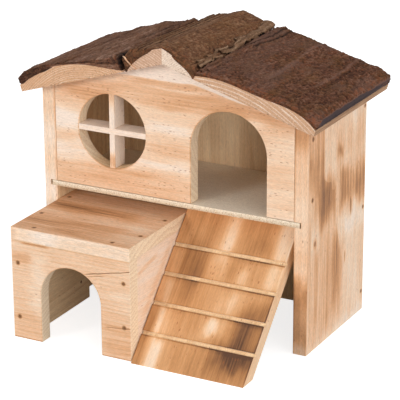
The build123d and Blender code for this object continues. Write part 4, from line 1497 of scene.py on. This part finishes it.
def make_world(strength):
    """Even light on the object, before a white background."""
    tree = Tree(bpy.data.worlds.new("studio"))
    white = (1.0, 1.0, 1.0, 1.0)
    lit, shown = (tree.node("Background", white, level).outputs[0] for level in (strength, 1.0))
    mix = tree.node("MixShader", seen_directly(tree), lit, shown)
    bpy.context.scene.world = tree.close("OutputWorld", mix.outputs[0])


def make_floor(albedo, glow_level):
    """A white floor that keeps the object's shadow and otherwise runs into the background."""
    half = 4.0  # metres
    corners = [(-half, -half, 0), (half, -half, 0), (half, half, 0), (-half, half, 0)]
    tree = Tree(bpy.data.materials.new("studio_floor"))
    matt = tree.node("BsdfDiffuse", (albedo, albedo, albedo, 1.0))
    glow = tree.node("Emission")
    level = tree.node("Math", seen_directly(tree), glow_level, operation="MULTIPLY")
    tree.feed(glow.inputs["Strength"], level.outputs[0])
    total = tree.node("AddShader", matt.outputs[0], glow.outputs[0])
    material = tree.close("OutputMaterial", total.outputs[0])
    mesh_piece("studio_floor", corners, [(0, 1, 2, 3)], material, smooth=False)


CAMERA_PLACE = (0.55690, -1.02417, 0.50116)
CAMERA_ANGLES = (28.15, 19.87, -0.32)  # degrees: to the right of the front, up, and rolled
CAMERA_LENS = 178.7


def make_camera():
    """The photograph's viewpoint."""
    azimuth, elevation, roll = (radians(angle) for angle in CAMERA_ANGLES)
    back = direction(azimuth, elevation)
    right = Vector((cos(azimuth), sin(azimuth), 0.0))
    right = right * cos(roll) + back.cross(right) * sin(roll)
    turn = Matrix((right, back.cross(right), back)).transposed().to_4x4()
    data = bpy.data.cameras.new("camera")
    data.sensor_width = 36.0
    data.lens = CAMERA_LENS
    data.clip_start, data.clip_end = 0.05, 20.0
    camera = place_object("camera", data, Matrix.Translation(CAMERA_PLACE) @ turn)
    bpy.context.scene.camera = camera


# ---------------- dressing the frame

make_camera()
make_world(0.45)
lamp("key", azimuth=-24, elevation=14, strength=1.15, softness=17)
lamp("front_fill", azimuth=42, elevation=10, strength=0.75, softness=35)
lamp("side_fill", azimuth=80, elevation=24, strength=1.08, softness=60)
make_floor(albedo=0.62, glow_level=0.8)
bpy.context.scene.view_settings.view_transform = "Standard"


def dress(node, material):
    """Gives a CAD node its finish."""
    mesh = nodes[node].data
    mesh.materials.clear()
    mesh.materials.append(material)


for pine_node, pine_look in PINE_LOOKS.items():
    dress(pine_node, pine(*pine_look))
dress("floor_plate", plywood())
for slab_place in LOG_CUTS:
    dress(f"roof_slab_{slab_place}", log_wood(slab_place))
steel = brad_steel()
for group in (
    "wall_brads_left", "wall_brads_right", "annex_top_brads", "annex_front_brads",
    "annex_anchor_brads", "ramp_brads",
):
    dress(group, steel)
bark_material_of = {kind: bark_material(kind) for kind in BARK_TONES}
bark_outside = {bark_place: make_bark(bark_place) for bark_place in BARKS}
make_roof_nails()
for curl_place, curls in CURLS.items():
    for curl_name, curl_shape in curls.items():
        make_curl(curl_place, curl_name, curl_shape)
make_splinter()
